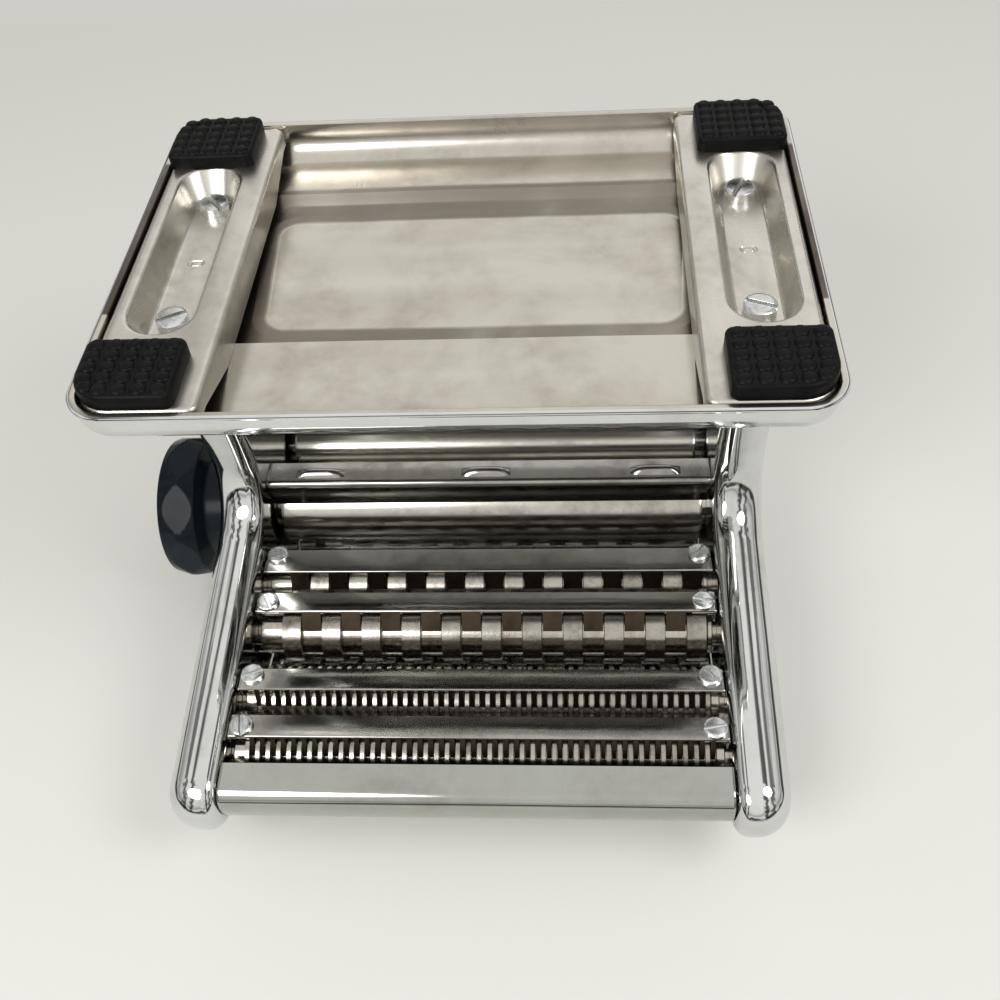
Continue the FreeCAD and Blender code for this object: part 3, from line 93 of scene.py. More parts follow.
ROD_AXES = ((-13.0, 140.0), (41.0, 140.0), (-107.2, 122.0))
SHAFTS = {"driven": 6.0, "partner": 5.0}
CLEARANCE = 0.5
SIDES = (("knob_side", 1), ("crank_side", -1))
ENDS = (("front", -1), ("rear", 1))


# Lines

def unit(direction):
    return direction / np.linalg.norm(direction, axis=-1, keepdims=True)


def rounded(corners, radii, closed=False, steps=6):
    """The line through the corners with an arc at each. An arc starts and stops at the radius over the
    tangent of half the corner from it, and its middle lies on the corner's bisector."""
    corners = np.asarray(corners, float)
    count = len(corners)
    runs = []
    for index, radius in enumerate(radii):
        corner = corners[index]
        if radius <= 0 or (not closed and index in (0, count - 1)):
            runs.append(corner[None])
            continue
        back = unit(corners[index - 1] - corner)
        ahead = unit(corners[(index + 1) % count] - corner)
        half = 0.5 * math.acos(np.clip(back @ ahead, -1, 1))
        middle = corner + unit(back + ahead) * radius / math.sin(half)
        start = corner + back * radius / math.tan(half) - middle
        stop = corner + ahead * radius / math.tan(half) - middle
        first = math.atan2(start[1], start[0])
        turn = (math.atan2(stop[1], stop[0]) - first + math.pi) % (2 * math.pi) - math.pi
        angles = first + turn * np.linspace(0, 1, steps + 1)
        runs.append(middle + radius * np.stack([np.cos(angles), np.sin(angles)], -1))
    return np.concatenate(runs)


def offset(line, distance):
    """The line drawn to its own left by a distance. Each point moves along the middle of its two runs'
    left sides, by the distance over the cosine of the angle to them."""
    ahead = unit(np.diff(line, axis=0))
    ahead = np.concatenate([ahead, ahead[-1:]])
    behind = np.concatenate([ahead[:1], ahead[:-1]])
    left = np.stack([-ahead[:, 1], ahead[:, 0]], -1)
    middle = unit(left + np.stack([-behind[:, 1], behind[:, 0]], -1))
    return line + middle * distance / np.sum(middle * left, -1, keepdims=True)


def spread(start, stop, step):
    """Numbers from start to stop, about a step apart."""
    return np.linspace(start, stop, max(2, int(round(abs(stop - start) / step)) + 1))


def loop(low, high, radii, steps=8, marks=(0.0, 1.0)):
    """A closed rounded rectangle, anticlockwise from its corner at high x and low y, with one radius or
    four. The marks are the places, as shares, of the points along each of its two long sides, so that
    loops of different sizes match point for point."""
    (x0, y0), (x1, y1) = low, high
    arcs = []
    for x, y, across, along, first, radius in zip((x1, x1, x0, x0), (y0, y1, y1, y0), (-1, -1, 1, 1),
                                                  (1, -1, -1, 1), (-90, 0, 90, 180),
                                                  np.broadcast_to(radii, 4)):
        angles = np.radians(np.linspace(first, first + 90, steps + 1))
        arcs.append(np.stack([x + radius * (across + np.cos(angles)),
                              y + radius * (along + np.sin(angles))], -1))
    share = np.asarray(marks, float)[1:-1, None]
    right = arcs[0][-1] + (arcs[1][0] - arcs[0][-1]) * share
    left = arcs[2][-1] + (arcs[3][0] - arcs[2][-1]) * share
    return np.concatenate([arcs[0], right, arcs[1], arcs[2], left, arcs[3]])


def at_height(line, z):
    """Points of a flat line raised to a height, which may differ from point to point."""
    return np.column_stack([line, np.broadcast_to(z, len(line))])


def at_side(line, x):
    """Points of a line of (y, z) placed at one x."""
    return np.column_stack([np.full(len(line), float(x)), line])


def turned(profile, centre, sides):
    """A profile of (place, radius) turned about a line along the first axis: the point j of ring k lies
    at the place of k, and its radius away from the line at the angle of j full turns over the sides."""
    place, radius = np.hsplit(np.asarray(profile, float), 2)
    angle = np.arange(sides) * (2 * math.pi / sides)
    return np.stack(np.broadcast_arrays(place, centre[0] + radius * np.cos(angle),
                                        centre[1] + radius * np.sin(angle)), -1)


def circle(centre, radius, sides=32):
    """The points of one such ring, without their place."""
    return turned([(0, radius)], centre, sides)[0, :, 1:]


def drawn_in(section, share):
    """A sheet's section, which is one face and then the other backwards, with both faces drawn to a
    share of their distance from the line midway between them."""
    half = len(section) // 2
    middle = 0.5 * (section[:half] + section[::-1][:half])
    inner = np.concatenate([middle, middle[::-1]])
    return inner + (section - inner) * share


# Meshes

class Shape:
    """Surfaces gathered into one mesh, in millimetres. A face's tag is the number of its finish."""

    def __init__(self):
        self.points = []
        self.faces = []
        self.tags = []
        self.count = 0

    def keep(self, points, faces, tag=0):
        points = np.asarray(points, float).reshape(-1, 3)
        self.points.append(points)
        self.faces.extend((np.asarray(faces) + self.count).tolist())
        self.tags.extend([tag] * len(faces))
        self.count += len(points)

    def grid(self, points, around=False, tag=0):
        """A square between neighbouring points of rows and columns. Around joins each row to its start.
        The points are given back."""
        points = np.asarray(points, float)
        rows, columns = points.shape[:2]
        index = np.arange(rows * columns).reshape(rows, columns)
        if around:
            index = np.hstack([index, index[:, :1]])
        squares = np.stack([index[:-1, :-1], index[:-1, 1:], index[1:, 1:], index[1:, :-1]], -1)
        self.keep(points, squares.reshape(-1, 4), tag)
        return points

    def fan(self, ring):
        """Triangles from each run of a ring to its middle."""
        count = len(ring)
        index = np.arange(count)
        corners = np.stack([index, np.roll(index, -1), np.full(count, count)], -1)
        self.keep(np.vstack([ring, ring.mean(0)]), corners)

    def flat(self, loops):
        """A flat face whose first loop is its edge and whose others are holes."""
        corners = tessellate_polygon([[Vector(point) for point in ring] for ring in loops])
        self.keep(np.vstack(loops), corners)

    def sheet(self, rows):
        """A sheet through rows of its section, closed at both ends."""
        self.grid(rows, True)
        half = len(rows[0]) // 2
        for row in (rows[0], rows[-1]):
            self.grid([row[:half], row[::-1][:half]])

    def carry(self, section, half_width, edge=0.25):
        """A sheet's section of (y, z) carried along X to both sides, its ends' edges drawn in a little."""
        ends = [(drawn_in(section, 1 - edge), half_width), (section, half_width - edge),
                (section, half_width - 3 * edge)]
        self.sheet([at_side(line, -x) for line, x in ends] + [at_side(line, x) for line, x in ends[::-1]])

    def turn(self, profile, axis, sides=48, tag=0):
        """A profile of (x, radius) turned about a line along X."""
        return self.grid(turned(profile, axis, sides), True, tag)

    def post(self, profile, centre, sides=32):
        """A profile of (radius, z) turned about an upright line."""
        return self.grid(turned(np.asarray(profile)[:, ::-1], centre, sides)[..., [1, 2, 0]], True)

    def build(self, name, body, slot, finishes, sharp=38):
        """The object made of these surfaces: merged, closed, smooth except at sharp edges."""
        mesh = bpy.data.meshes.new(name)
        mesh.from_pydata((np.vstack(self.points) * MM).tolist(), [], self.faces)
        mesh.polygons.foreach_set("material_index", self.tags)
        work = bmesh.new()
        work.from_mesh(mesh)
        bmesh.ops.remove_doubles(work, verts=work.verts, dist=2e-6)
        bmesh.ops.dissolve_degenerate(work, edges=work.edges, dist=1e-6)
        bmesh.ops.recalc_face_normals(work, faces=work.faces)
        work.to_mesh(mesh)
        work.free()
        mesh.shade_smooth()
        mesh.set_sharp_from_angle(angle=math.radians(sharp))
        piece = put_in_scene(name, mesh)
        for finish in finishes:
            mesh.materials.append(material(finish))
        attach(piece, body)
        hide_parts(name.replace("piece_", ""))
        return piece


def put_in_scene(name, data):
    """A new object of a mesh, lamp or camera."""
    piece = bpy.data.objects.new(name, data)
    bpy.context.scene.collection.objects.link(piece)
    return piece


def folded(corners, bends, steps=6):
    """The section of a folded sheet. The corners are one face and the other lies to its left. The middle
    of the sheet is rounded at each bend by its inner radius and half the gauge, and drawn half the gauge
    to both sides."""
    middle = offset(np.asarray(corners, float), GAUGE / 2)
    radii = [0.0] * len(corners)
    for index, radius in bends.items():
        radii[index] = radius + GAUGE / 2
    line = rounded(middle, radii, steps=steps)
    return np.concatenate([offset(line, -GAUGE / 2), offset(line, GAUGE / 2)[::-1]])


def crest(y):
    """Height of the sheet covers over the nose at a distance forwards: they lie a little below the
    cheeks' crest, which falls with its slope."""
    below = COVER_SINK / math.cos(math.atan(CREST_SLOPE))
    return CREST_START[1] - (y - CREST_START[0]) * CREST_SLOPE - below


def slotted_head(shape, centre, radius, seat, height, angle, slot, depth):
    """A round head hanging below its seat, with a slot: a disc, and on it two half discs that stop at the
    slot's sides. Each half disc is a stack of its own outline, drawn in towards the bottom."""
    floor = seat - height
    shape.post([(radius, seat), (radius, floor + depth), (0, floor + depth)], centre)
    cut = math.asin(slot / 2 / radius)
    arc = np.linspace(cut, math.pi - cut, 17)
    dome = 0.25
    for turn in (angle, angle + math.pi):
        rows = []
        for share, z in ((1.0, floor + depth), (1.0, floor + 0.45), (1 - dome * 0.35, floor + 0.12),
                         (1 - dome, floor)):
            x = radius * share * np.cos(arc)
            y = np.maximum(radius * share * np.sin(arc), slot / 2 + (1 - share) * 0.6)
            rows.append(at_height(np.stack([centre[0] + x * math.cos(turn) - y * math.sin(turn),
                                            centre[1] + x * math.sin(turn) + y * math.cos(turn)], -1), z))
        shape.fan(shape.grid(rows, True)[-1])


# Finishes

class Nodes:
    """Nodes of one tree, added and joined in short."""

    def __init__(self, tree):
        self.tree = tree
        tree.nodes.clear()

    def add(self, kind, inputs=None, **settings):
        """A node with its settings. Each input is joined to a socket or takes a value."""
        node = self.tree.nodes.new(kind)
        for key, value in settings.items():
            setattr(node, key, value)
        for key, value in (inputs or {}).items():
            socket = node.inputs[key]
            if isinstance(value, bpy.types.NodeSocket):
                self.tree.links.new(value, socket)
            else:
                socket.default_value = value
        return node

    def math(self, operation, first, second=0.5, clamp=False):
        node = self.add("ShaderNodeMath", {0: first, 1: second}, operation=operation, use_clamp=clamp)
        return node.outputs[0]

    def times(self, first, second):
        return self.math("MULTIPLY", first, second)

    def plus(self, first, second, clamp=False):
        return self.math("ADD", first, second, clamp)

    def minus(self, first, second):
        return self.math("SUBTRACT", first, second)

    def remap(self, value, low, high, to_low=0.0, to_high=1.0):
        node = self.add("ShaderNodeMapRange", {"Value": value, "From Min": low, "From Max": high,
                                               "To Min": to_low, "To Max": to_high})
        return node.outputs[0]

    def noise(self, vector, scale, detail=3.0, roughness=0.55, distortion=0.0):
        node = self.add("ShaderNodeTexNoise", {"Vector": vector, "Scale": scale, "Detail": detail,
                                               "Roughness": roughness, "Distortion": distortion})
        return node.outputs[0]

    def stretch(self, vector, scale, turn):
        node = self.add("ShaderNodeMapping", {"Vector": vector, "Scale": scale, "Rotation": turn})
        return node.outputs[0]

    def blend(self, share, first, second, way="MIX"):
        node = self.add("ShaderNodeMix", {"Factor": share, "A": first, "B": second}, data_type="RGBA",
                        blend_type=way)
        return node.outputs[2]

    def object_place(self):
        return self.add("ShaderNodeTexCoord").outputs["Object"]

    def split(self, vector):
        return self.add("ShaderNodeSeparateXYZ", {0: vector}).outputs


def effect(name, **inputs):
    """A shader node group that takes a Vector and the named inputs: its nodes and what it is given."""
    tree = bpy.data.node_groups.new(name, "ShaderNodeTree")
    tree.interface.new_socket("Vector", in_out="INPUT", socket_type="NodeSocketVector")
    for label, value in inputs.items():
        kind = "NodeSocketFloat" if isinstance(value, float) else "NodeSocketVector"
        tree.interface.new_socket(label, in_out="INPUT", socket_type=kind).default_value = value
    nodes = Nodes(tree)
    return nodes, nodes.add("NodeGroupInput").outputs


def finish_effect(nodes, **outputs):
    """The node group, with its named outputs."""
    for label in outputs:
        nodes.tree.interface.new_socket(label, in_out="OUTPUT", socket_type="NodeSocketFloat")
    nodes.add("NodeGroupOutput", outputs)
    return nodes.tree


def make_smudges():
    """Handling marks: clouds of two sizes, and fine scratches along three directions. A scratch is the
    thin band where a much stretched noise crosses its middle value."""
    nodes, given = effect("Smudges and scratches", Size=30.0)
    place, scale = given["Vector"], given["Size"]
    broad = nodes.noise(place, scale, 5.0, 0.62, 0.6)
    fine = nodes.noise(place, nodes.times(scale, 5.0), 4.0, 0.6)
    smudge = nodes.times(nodes.remap(broad, 0.38, 0.68), nodes.remap(fine, 0.25, 0.7))
    lines = 0.0
    for turn in ((0.3, 0.2, 0.5), (1.1, 0.7, 1.9), (0.2, 1.3, 2.8)):
        streak = nodes.noise(nodes.stretch(place, (900, 25, 900), turn), 1.0, 1.0)
        band = nodes.math("ABSOLUTE", nodes.minus(streak, 0.5))
        lines = nodes.math("MAXIMUM", lines, nodes.remap(band, 0.0, 0.012, 1.0, 0.0))
    patches = nodes.remap(nodes.noise(place, 60.0), 0.5, 0.62)
    return finish_effect(nodes, Smudge=smudge, Scratch=nodes.times(lines, patches))


def make_waves():
    """The slow unevenness of pressed sheet, as a height."""
    nodes, given = effect("Sheet waves", Size=30.0)
    broad = nodes.noise(given["Vector"], given["Size"], 1.5, 0.4)
    fine = nodes.noise(given["Vector"], nodes.times(given["Size"], 4.0), 2.0)
    return finish_effect(nodes, Height=nodes.plus(broad, nodes.times(fine, 0.12)))


def make_grain():
    """Marks left by rolling or turning: noise that is short across and long along."""
    nodes, given = effect("Grain", Across=(2500, 60, 60))
    scaled = nodes.add("ShaderNodeVectorMath", {0: given["Vector"], 1: given["Across"]},
                       operation="MULTIPLY").outputs[0]
    return finish_effect(nodes, Grain=nodes.noise(scaled, 1.0, 4.0, 0.6),
                         Bands=nodes.noise(scaled, 0.12, 2.0, 0.5))


EFFECTS = {"Smudges and scratches": make_smudges, "Sheet waves": make_waves, "Grain": make_grain}


def place_effect(nodes, name, **inputs):
    """What an effect puts out for these inputs. Its group is made on first use."""
    tree = bpy.data.node_groups.get(name) or EFFECTS[name]()
    return nodes.add("ShaderNodeGroup", inputs, node_tree=tree).outputs


# Each finish: darker colour of its stains, metallic, roughness, rougher where smudged, size of the
# waves, depth of the waves in metres, scratches, scale of the grain, depth of the grain in metres
FINISHES = {
    "chrome": ((0.50, 0.50, 0.48), 1.0, 0.04, 0.13, 26.0, 0.00025, 0.2, None, 0.0),
    "pan_inside": ((0.36, 0.33, 0.285), 1.0, 0.20, 0.32, 20.0, 0.0005, 0.12, (60, 500, 60), 0.000003),
    "rail": ((0.46, 0.435, 0.38), 1.0, 0.26, 0.42, 38.0, 0.00014, 0.15, (500, 60, 300), 0.000003),
    # The nose cover is chrome like the cheeks; its darker colour is a painted dark reflection.
    "nose": ((0.32, 0.32, 0.29), 1.0, 0.06, 0.14, 26.0, 0.00025, 0.2, None, 0.0),
    # The plates' colours are their steel's, darkened as painted shade inside the machine; the fingers'
    # near-black colour is painted shade between the cutters.
    "plate": ((0.17, 0.16, 0.14), 1.0, 0.09, 0.20, 30.0, 0.0003, 0.15, (30, 500, 500), 0.000003),
    "finger": ((0.03, 0.022, 0.014), 1.0, 0.30, 0.45, 60.0, 0.0, 0.1, (900, 300, 300), 0.000008),
    "roller": ((0.24, 0.22, 0.18), 1.0, 0.15, 0.30, 30.0, 0.0, 0.2, (160, 1500, 1500), 0.000006),
    "ring": ((0.10, 0.085, 0.065), 1.0, 0.18, 0.36, 90.0, 0.0, 0.2, (900, 900, 900), 0.00003),
    "core": ((0.20, 0.17, 0.13), 1.0, 0.14, 0.30, 60.0, 0.0, 0.2, (3000, 60, 60), 0.00001),
    "gear": ((0.30, 0.26, 0.20), 1.0, 0.34, 0.50, 80.0, 0.0, 0.2, (300, 1500, 1500), 0.00001),
    "shaft": ((0.42, 0.40, 0.36), 1.0, 0.20, 0.34, 60.0, 0.0, 0.2, (2400, 60, 60), 0.00001),
    "zinc": ((0.44, 0.44, 0.42), 1.0, 0.20, 0.36, 150.0, 0.0, 0.3, (700, 700, 700), 0.00002),
    "brass": ((0.42, 0.30, 0.14), 1.0, 0.26, 0.40, 60.0, 0.0, 0.2, (1800, 60, 60), 0.00001),
    "nylon": ((0.50, 0.48, 0.42), 0.0, 0.45, 0.60, 60.0, 0.0, 0.1, (300, 300, 300), 0.00002),
    "knob": ((0.010, 0.013, 0.015), 0.0, 0.12, 0.28, 50.0, 0.00008, 0.3, (500, 500, 500), 0.000004),
    "rubber": ((0.010, 0.010, 0.009), 0.0, 0.36, 0.58, 90.0, 0.0, 0.1, (900, 900, 900), 0.00004),
}
# How much of its plain gloss a finish that isn't metal keeps, from 0 to 1
GLOSS = {"nylon": 0.5, "knob": 0.09, "rubber": 0.08}


# The pan's pressed middle, in metres: the middle of its rectangle, how far its corners' centres lie
# from it along X at the front and at the rear, and along Y, the corners' radius and the step's height.
# The last colour is the painted shade at its darkest, beside the rails.
STEP_MIDDLE = (-0.002, 0.0067)
STEP_HALF_X = (0.0515, 0.0545)
STEP_HALF_Y = 0.018
STEP_CORNER = 0.007
STEP_DEPTH = 0.0004
SHADE_COLOUR = (0.09, 0.075, 0.06)
# What a full scratch takes from the height, in metres, and adds to the roughness
SCRATCH_DEPTH = 0.000004
SCRATCH_ROUGHNESS = 0.25


def step_shade(nodes, place):
    """The painted shade round the pan's pressed middle, a dull and darker border, and how dark it is.
    The distance to a rounded rectangle is the length of how far a point lies past the centres of its
    corners, less their radius. The rectangle widens to the rear. The border starts at once outside it,
    is broken by noise, is darkest beside the rails, where it paints their reflection in the pan, and
    stops at the plateau's edges."""
    parts = nodes.split(place)
    half_x = nodes.remap(parts["Y"], -0.010, 0.030, *STEP_HALF_X)
    past = []
    for axis, middle, half in zip("XY", STEP_MIDDLE, (half_x, STEP_HALF_Y)):
        far = nodes.math("ABSOLUTE", nodes.minus(parts[axis], middle))
        past.append(nodes.math("MAXIMUM", nodes.minus(far, half), 0.0))
    squares = nodes.plus(nodes.times(past[0], past[0]), nodes.times(past[1], past[1]))
    distance = nodes.minus(nodes.math("SQRT", squares), STEP_CORNER)
    stop = nodes.times(nodes.remap(parts["Y"], 0.0435, 0.0450, 1.0, 0.0),
                       nodes.remap(parts["Y"], -0.0275, -0.0268))
    patchy = nodes.remap(nodes.noise(place, 30.0, 3.0, 0.6), 0.3, 0.6, 0.6, 1.0)
    border = nodes.times(nodes.times(nodes.remap(distance, -0.0004, 0.0010), stop), patchy)
    painted_shade = nodes.times(border, nodes.remap(past[0], 0.006, 0.010, 0.5, 0.97))
    return distance, border, painted_shade


def new_material(name):
    """A material without nodes, and what adds them."""
    made = bpy.data.materials.new(name)
    made.use_nodes = True
    return made, Nodes(made.node_tree)


def material(name):
    """A finish as a material, made once. Its colour goes to the stain colour where smudged, and on the
    pan's inside also to painted shade round its pressed middle; its roughness rises there and in
    scratches, and waves and grain add up to its relief."""
    done = bpy.data.materials.get(name)
    if done:
        return done
    stain, metallic, smooth, rough, wave_size, wave_depth, scratches, grain, grain_depth = FINISHES[name]
    made, nodes = new_material(name)
    place = nodes.object_place()
    marks = place_effect(nodes, "Smudges and scratches", Vector=place, Size=wave_size)
    share = nodes.times(marks["Smudge"], 0.85)
    heights = []
    # On the pan's inside, a painted shade border round the pressed middle darkens and dulls the finish
    if name == "pan_inside":
        distance, border, painted_shade = step_shade(nodes, place)
        share = nodes.plus(share, border, clamp=True)
    if grain:
        lines = place_effect(nodes, "Grain", Vector=place, Across=grain)
        share = nodes.plus(share, nodes.remap(lines["Bands"], 0.35, 0.75, -0.12, 0.35), clamp=True)
        heights.append(nodes.times(lines["Grain"], grain_depth))
    if wave_depth:
        waves = place_effect(nodes, "Sheet waves", Vector=place, Size=wave_size)
        heights.append(nodes.times(waves["Height"], wave_depth))
    tone = nodes.blend(share, (*getattr(bpy.context.scene.machine_colours, name), 1), (*stain, 1))
    # The darkest painted shade, beside the rails, and the step's relief
    if name == "pan_inside":
        tone = nodes.blend(painted_shade, tone, (*SHADE_COLOUR, 1))
        heights.append(nodes.times(nodes.remap(distance, -0.0005, 0.004), STEP_DEPTH))
    heights.append(nodes.times(marks["Scratch"], -SCRATCH_DEPTH * scratches))
    height = heights[0]
    for more in heights[1:]:
        height = nodes.plus(height, more)
    roughness = nodes.plus(nodes.remap(share, 0.0, 1.0, smooth, rough),
                           nodes.times(marks["Scratch"], SCRATCH_ROUGHNESS * scratches), clamp=True)
    bump = nodes.add("ShaderNodeBump", {"Height": height, "Strength": 1.0, "Distance": 1.0})
    inputs = {"Base Color": tone, "Metallic": metallic, "Roughness": roughness, "Normal": bump.outputs[0]}
    if name in GLOSS:
        inputs.update({"IOR": 1.5, "Specular IOR Level": GLOSS[name]})
    shader = nodes.add("ShaderNodeBsdfPrincipled", inputs)
    nodes.add("ShaderNodeOutputMaterial", {0: shader.outputs[0]})
    return made


# The sizes and colours that a user would change

def length(label, text, default, low, high):
    """A length that a user may change, in metres."""
    return bpy.props.FloatProperty(name=label, description=text, default=default, min=low, max=high,
                                   unit="LENGTH", precision=4)


def colour(label, text, default):
    """A colour that a user may change."""
    return bpy.props.FloatVectorProperty(name=label, description=text, default=default, subtype="COLOR",
                                         min=0.0, max=1.0)


class MachineSizes(bpy.types.PropertyGroup):
    """Sizes within the solids, in metres"""
    rim_bead: length("Rim bead", "Rounding of the edge of the pan's rim", 0.00045, 0.0001, 0.0006)
    foot_relief: length("Foot relief", "Height of the bumps under the feet", 0.0009, 0.0003, 0.002)
    frame_round: length("Frame rounding", "Rounding of the side frames' inner edge", 0.0046, 0.0015, 0.0052)
    cover_round: length("Cover rounding", "Rounding of the side covers' outer edge", 0.010, 0.004, 0.0105)
    spring_turns: bpy.props.IntProperty(
        name="Spring turns", description="Turns of the spring inside the knob", default=6, min=2, max=12)


class MachineColours(bpy.types.PropertyGroup):
    """Colours of the finishes and of the backdrop"""
    chrome: colour("Chrome", "Pan, cheeks and covers", (0.70, 0.71, 0.71))
    pan_inside: colour("Pan inside", "Bare sheet inside the pan", (0.62, 0.59, 0.53))
    rail: colour("Rails", "Foot rails", (0.67, 0.65, 0.60))
    # The nose cover's colour is the chrome's, darkened as a painted dark reflection.
    nose: colour("Nose cover", "Folded cover at the front", (0.43, 0.44, 0.41))
    # The plates' colour is partly their steel's and partly painted shade; the fingers' dark colour is
    # painted shade.
    plate: colour("Plates", "Scrapers, combs and their brackets", (0.44, 0.43, 0.40))
    finger: colour("Fingers", "Fingers of the combs", (0.075, 0.058, 0.040))
    roller: colour("Rollers", "Smooth rollers", (0.60, 0.58, 0.53))
    ring: colour("Cutter rings", "Knurled rings of the cutters", (0.42, 0.40, 0.36))
    core: colour("Cutter cores", "Cores and shafts of the cutters", (0.52, 0.49, 0.43))
    gear: colour("Gears", "Gears behind the crank side cover", (0.56, 0.54, 0.50))
    shaft: colour("Rods and shafts", "Tie rods, regulator shaft, spring and pin", (0.70, 0.69, 0.66))
    zinc: colour("Screws", "Plated screws and the regulator nut", (0.78, 0.80, 0.81))
    brass: colour("Sleeves", "Bearing sleeves of the front roller", (0.72, 0.55, 0.28))
    nylon: colour("Bearing blocks", "Nylon blocks behind the covers", (0.72, 0.71, 0.66))
    knob: colour("Knob", "Regulator knob and its cap", (0.006, 0.009, 0.012))
    rubber: colour("Feet", "Rubber feet", (0.0045, 0.0045, 0.005))
    backdrop: colour("Backdrop", "Floor and what lies behind", (0.70, 0.695, 0.665))


def size(name):
    """A size of the settings, in millimetres."""
    return getattr(bpy.context.scene.machine_sizes, name) / MM


# Base pan

def depth_inside(x, y, half, corner):
    """How far points lie inside a rounded rectangle about the origin: the corner's radius less the
    distance past its centre, or past its centre lines."""
    over_x = np.abs(x) - (half[0] - corner)
    over_y = np.abs(y) - (half[1] - corner)
    past = np.hypot(np.maximum(over_x, 0), np.maximum(over_y, 0))
    return corner - past - np.minimum(np.maximum(over_x, over_y), 0)


def pan_height(x, y, inset):
    """Height of the pan's skin: its ledge, falling round a quarter circle at the wall, or its plateau,
    whose edge slopes at 45 degrees over a steep foot, whichever is higher, with the valley filled."""
    wall = (PAN_HALF[0] - inset, PAN_HALF[1] - inset)
    radius = PAN_ROUND - inset
    near = np.clip(depth_inside(x, y, wall, PAN_CORNER - inset), 0, radius)
    ledge = LEDGE - inset - radius + np.sqrt(np.maximum(radius ** 2 - (radius - near) ** 2, 0))
    half = (PLATEAU_HALF[0] - inset, PLATEAU_HALF[1] - inset)
    inside = depth_inside(x, y - PLATEAU_MIDDLE, half, PLATEAU_CORNER - inset)
    steepness, soft = 14, 0.9
    bank = ROOF - inset - PLATEAU_SLOPE + np.where(inside > 0, np.minimum(inside, PLATEAU_SLOPE),
                                                   inside * steepness)
    lap = np.maximum(soft - np.abs(ledge - bank), 0) / soft
    return np.maximum(ledge, bank) + lap * lap * soft / 4


def pan_skin(inset):
    """The pan's skin as rows at one y and columns at one share of the row's half width. Rows and columns
    crowd where the wall rounds over and along the plateau's slopes. Slow waves of a tenth of a
    millimetre lie in the wide flat."""
    half_x, half_y = PAN_HALF[0] - inset, PAN_HALF[1] - inset
    corner = PAN_CORNER - inset
    radius = PAN_ROUND - inset
    bend = radius * (1 - np.cos(np.linspace(0, math.pi / 2, 11)))
    slopes = [spread(-31.7, -23.2, 0.6), spread(39.0, 46.5, 0.6)]
    front = spread(-half_y + radius + 2, -33.5, 3.0)
    rows = np.unique(np.round(np.concatenate([-half_y + bend, front, *slopes, spread(-21, 37, 3.0),
                                              spread(48, half_y - radius - 1, 3.0), half_y - bend]), 4))
    flat = spread(0, half_x - radius - 2, 4.0)
    right = np.concatenate([flat, half_x - bend[::-1]])
    share = np.concatenate([-right[::-1], right[1:]]) / half_x
    over = np.maximum(np.abs(rows) - (half_y - corner), 0)
    width = half_x - corner + np.sqrt(np.maximum(corner ** 2 - over ** 2, 0))
    x = share[None] * width[:, None]
    y = np.broadcast_to(rows[:, None], x.shape)
    z = pan_height(x, y, inset)
    calm = np.clip(depth_inside(x, y, (half_x, half_y), corner) / 20, 0, 1)
    z = z + 0.10 * calm * (np.sin(x / 23 + 1.0) * np.cos(y / 17) + 0.6 * np.sin(x / 11 - y / 19))
    return np.stack([x, y, z], -1)


def skin_edge(skin):
    """The loop of points round a skin."""
    return np.concatenate([skin[0, :-1], skin[:-1, -1], skin[-1, :0:-1], skin[:0:-1, 0]])


def make_pan():
    """Two skins, joined by a rim of rings: each lies outside the skin's edge by the first number of its
    row and at the second. The rim's flange ends in a small bead."""
    shape = Shape()
    outer = shape.grid(pan_skin(0.0))
    inner = shape.grid(pan_skin(GAUGE), tag=1)
    rim, mouth = skin_edge(outer)[:, :2], skin_edge(inner)
    over = np.maximum(np.abs(rim) - np.subtract(PAN_HALF, PAN_CORNER), 0)
    out = unit(over * np.sign(rim))
    bead = size("rim_bead")
    reach, low, high = 1.1, 5.0, 6.2
    profile = [(0, LEDGE - PAN_ROUND), (0, 7.2), (0.12, 6.6), (0.45, 6.25), (reach - bead, high),
               (reach - 0.3 * bead, high - 0.3 * bead), (reach, high - bead), (reach, low + bead),
               (reach - 0.3 * bead, low + 0.3 * bead), (reach - bead, low), (0.2, low)]
    rows = shape.grid([at_height(rim + out * far, z) for far, z in profile], True)
    inside = [at_height(mouth[:, :2] + out * far, z) for far, z in ((0.35, low), (0.1, 5.1), (0, 5.35))]
    shape.grid([rows[-1], *inside, mouth], True, 1)
    shape.build("piece_base_pan", "frame", "chromed_sheet", ["chrome", "pan_inside"])


# Foot rails, feet and their screws

RAIL_MARKS = (0, 0.0094, 0.03, 0.2, 0.4, 0.6, 0.8, 0.97, 0.9906, 1)
RAIL_WALL_TOP = 10.1
RAIL_FOLD_TOP = 15.8


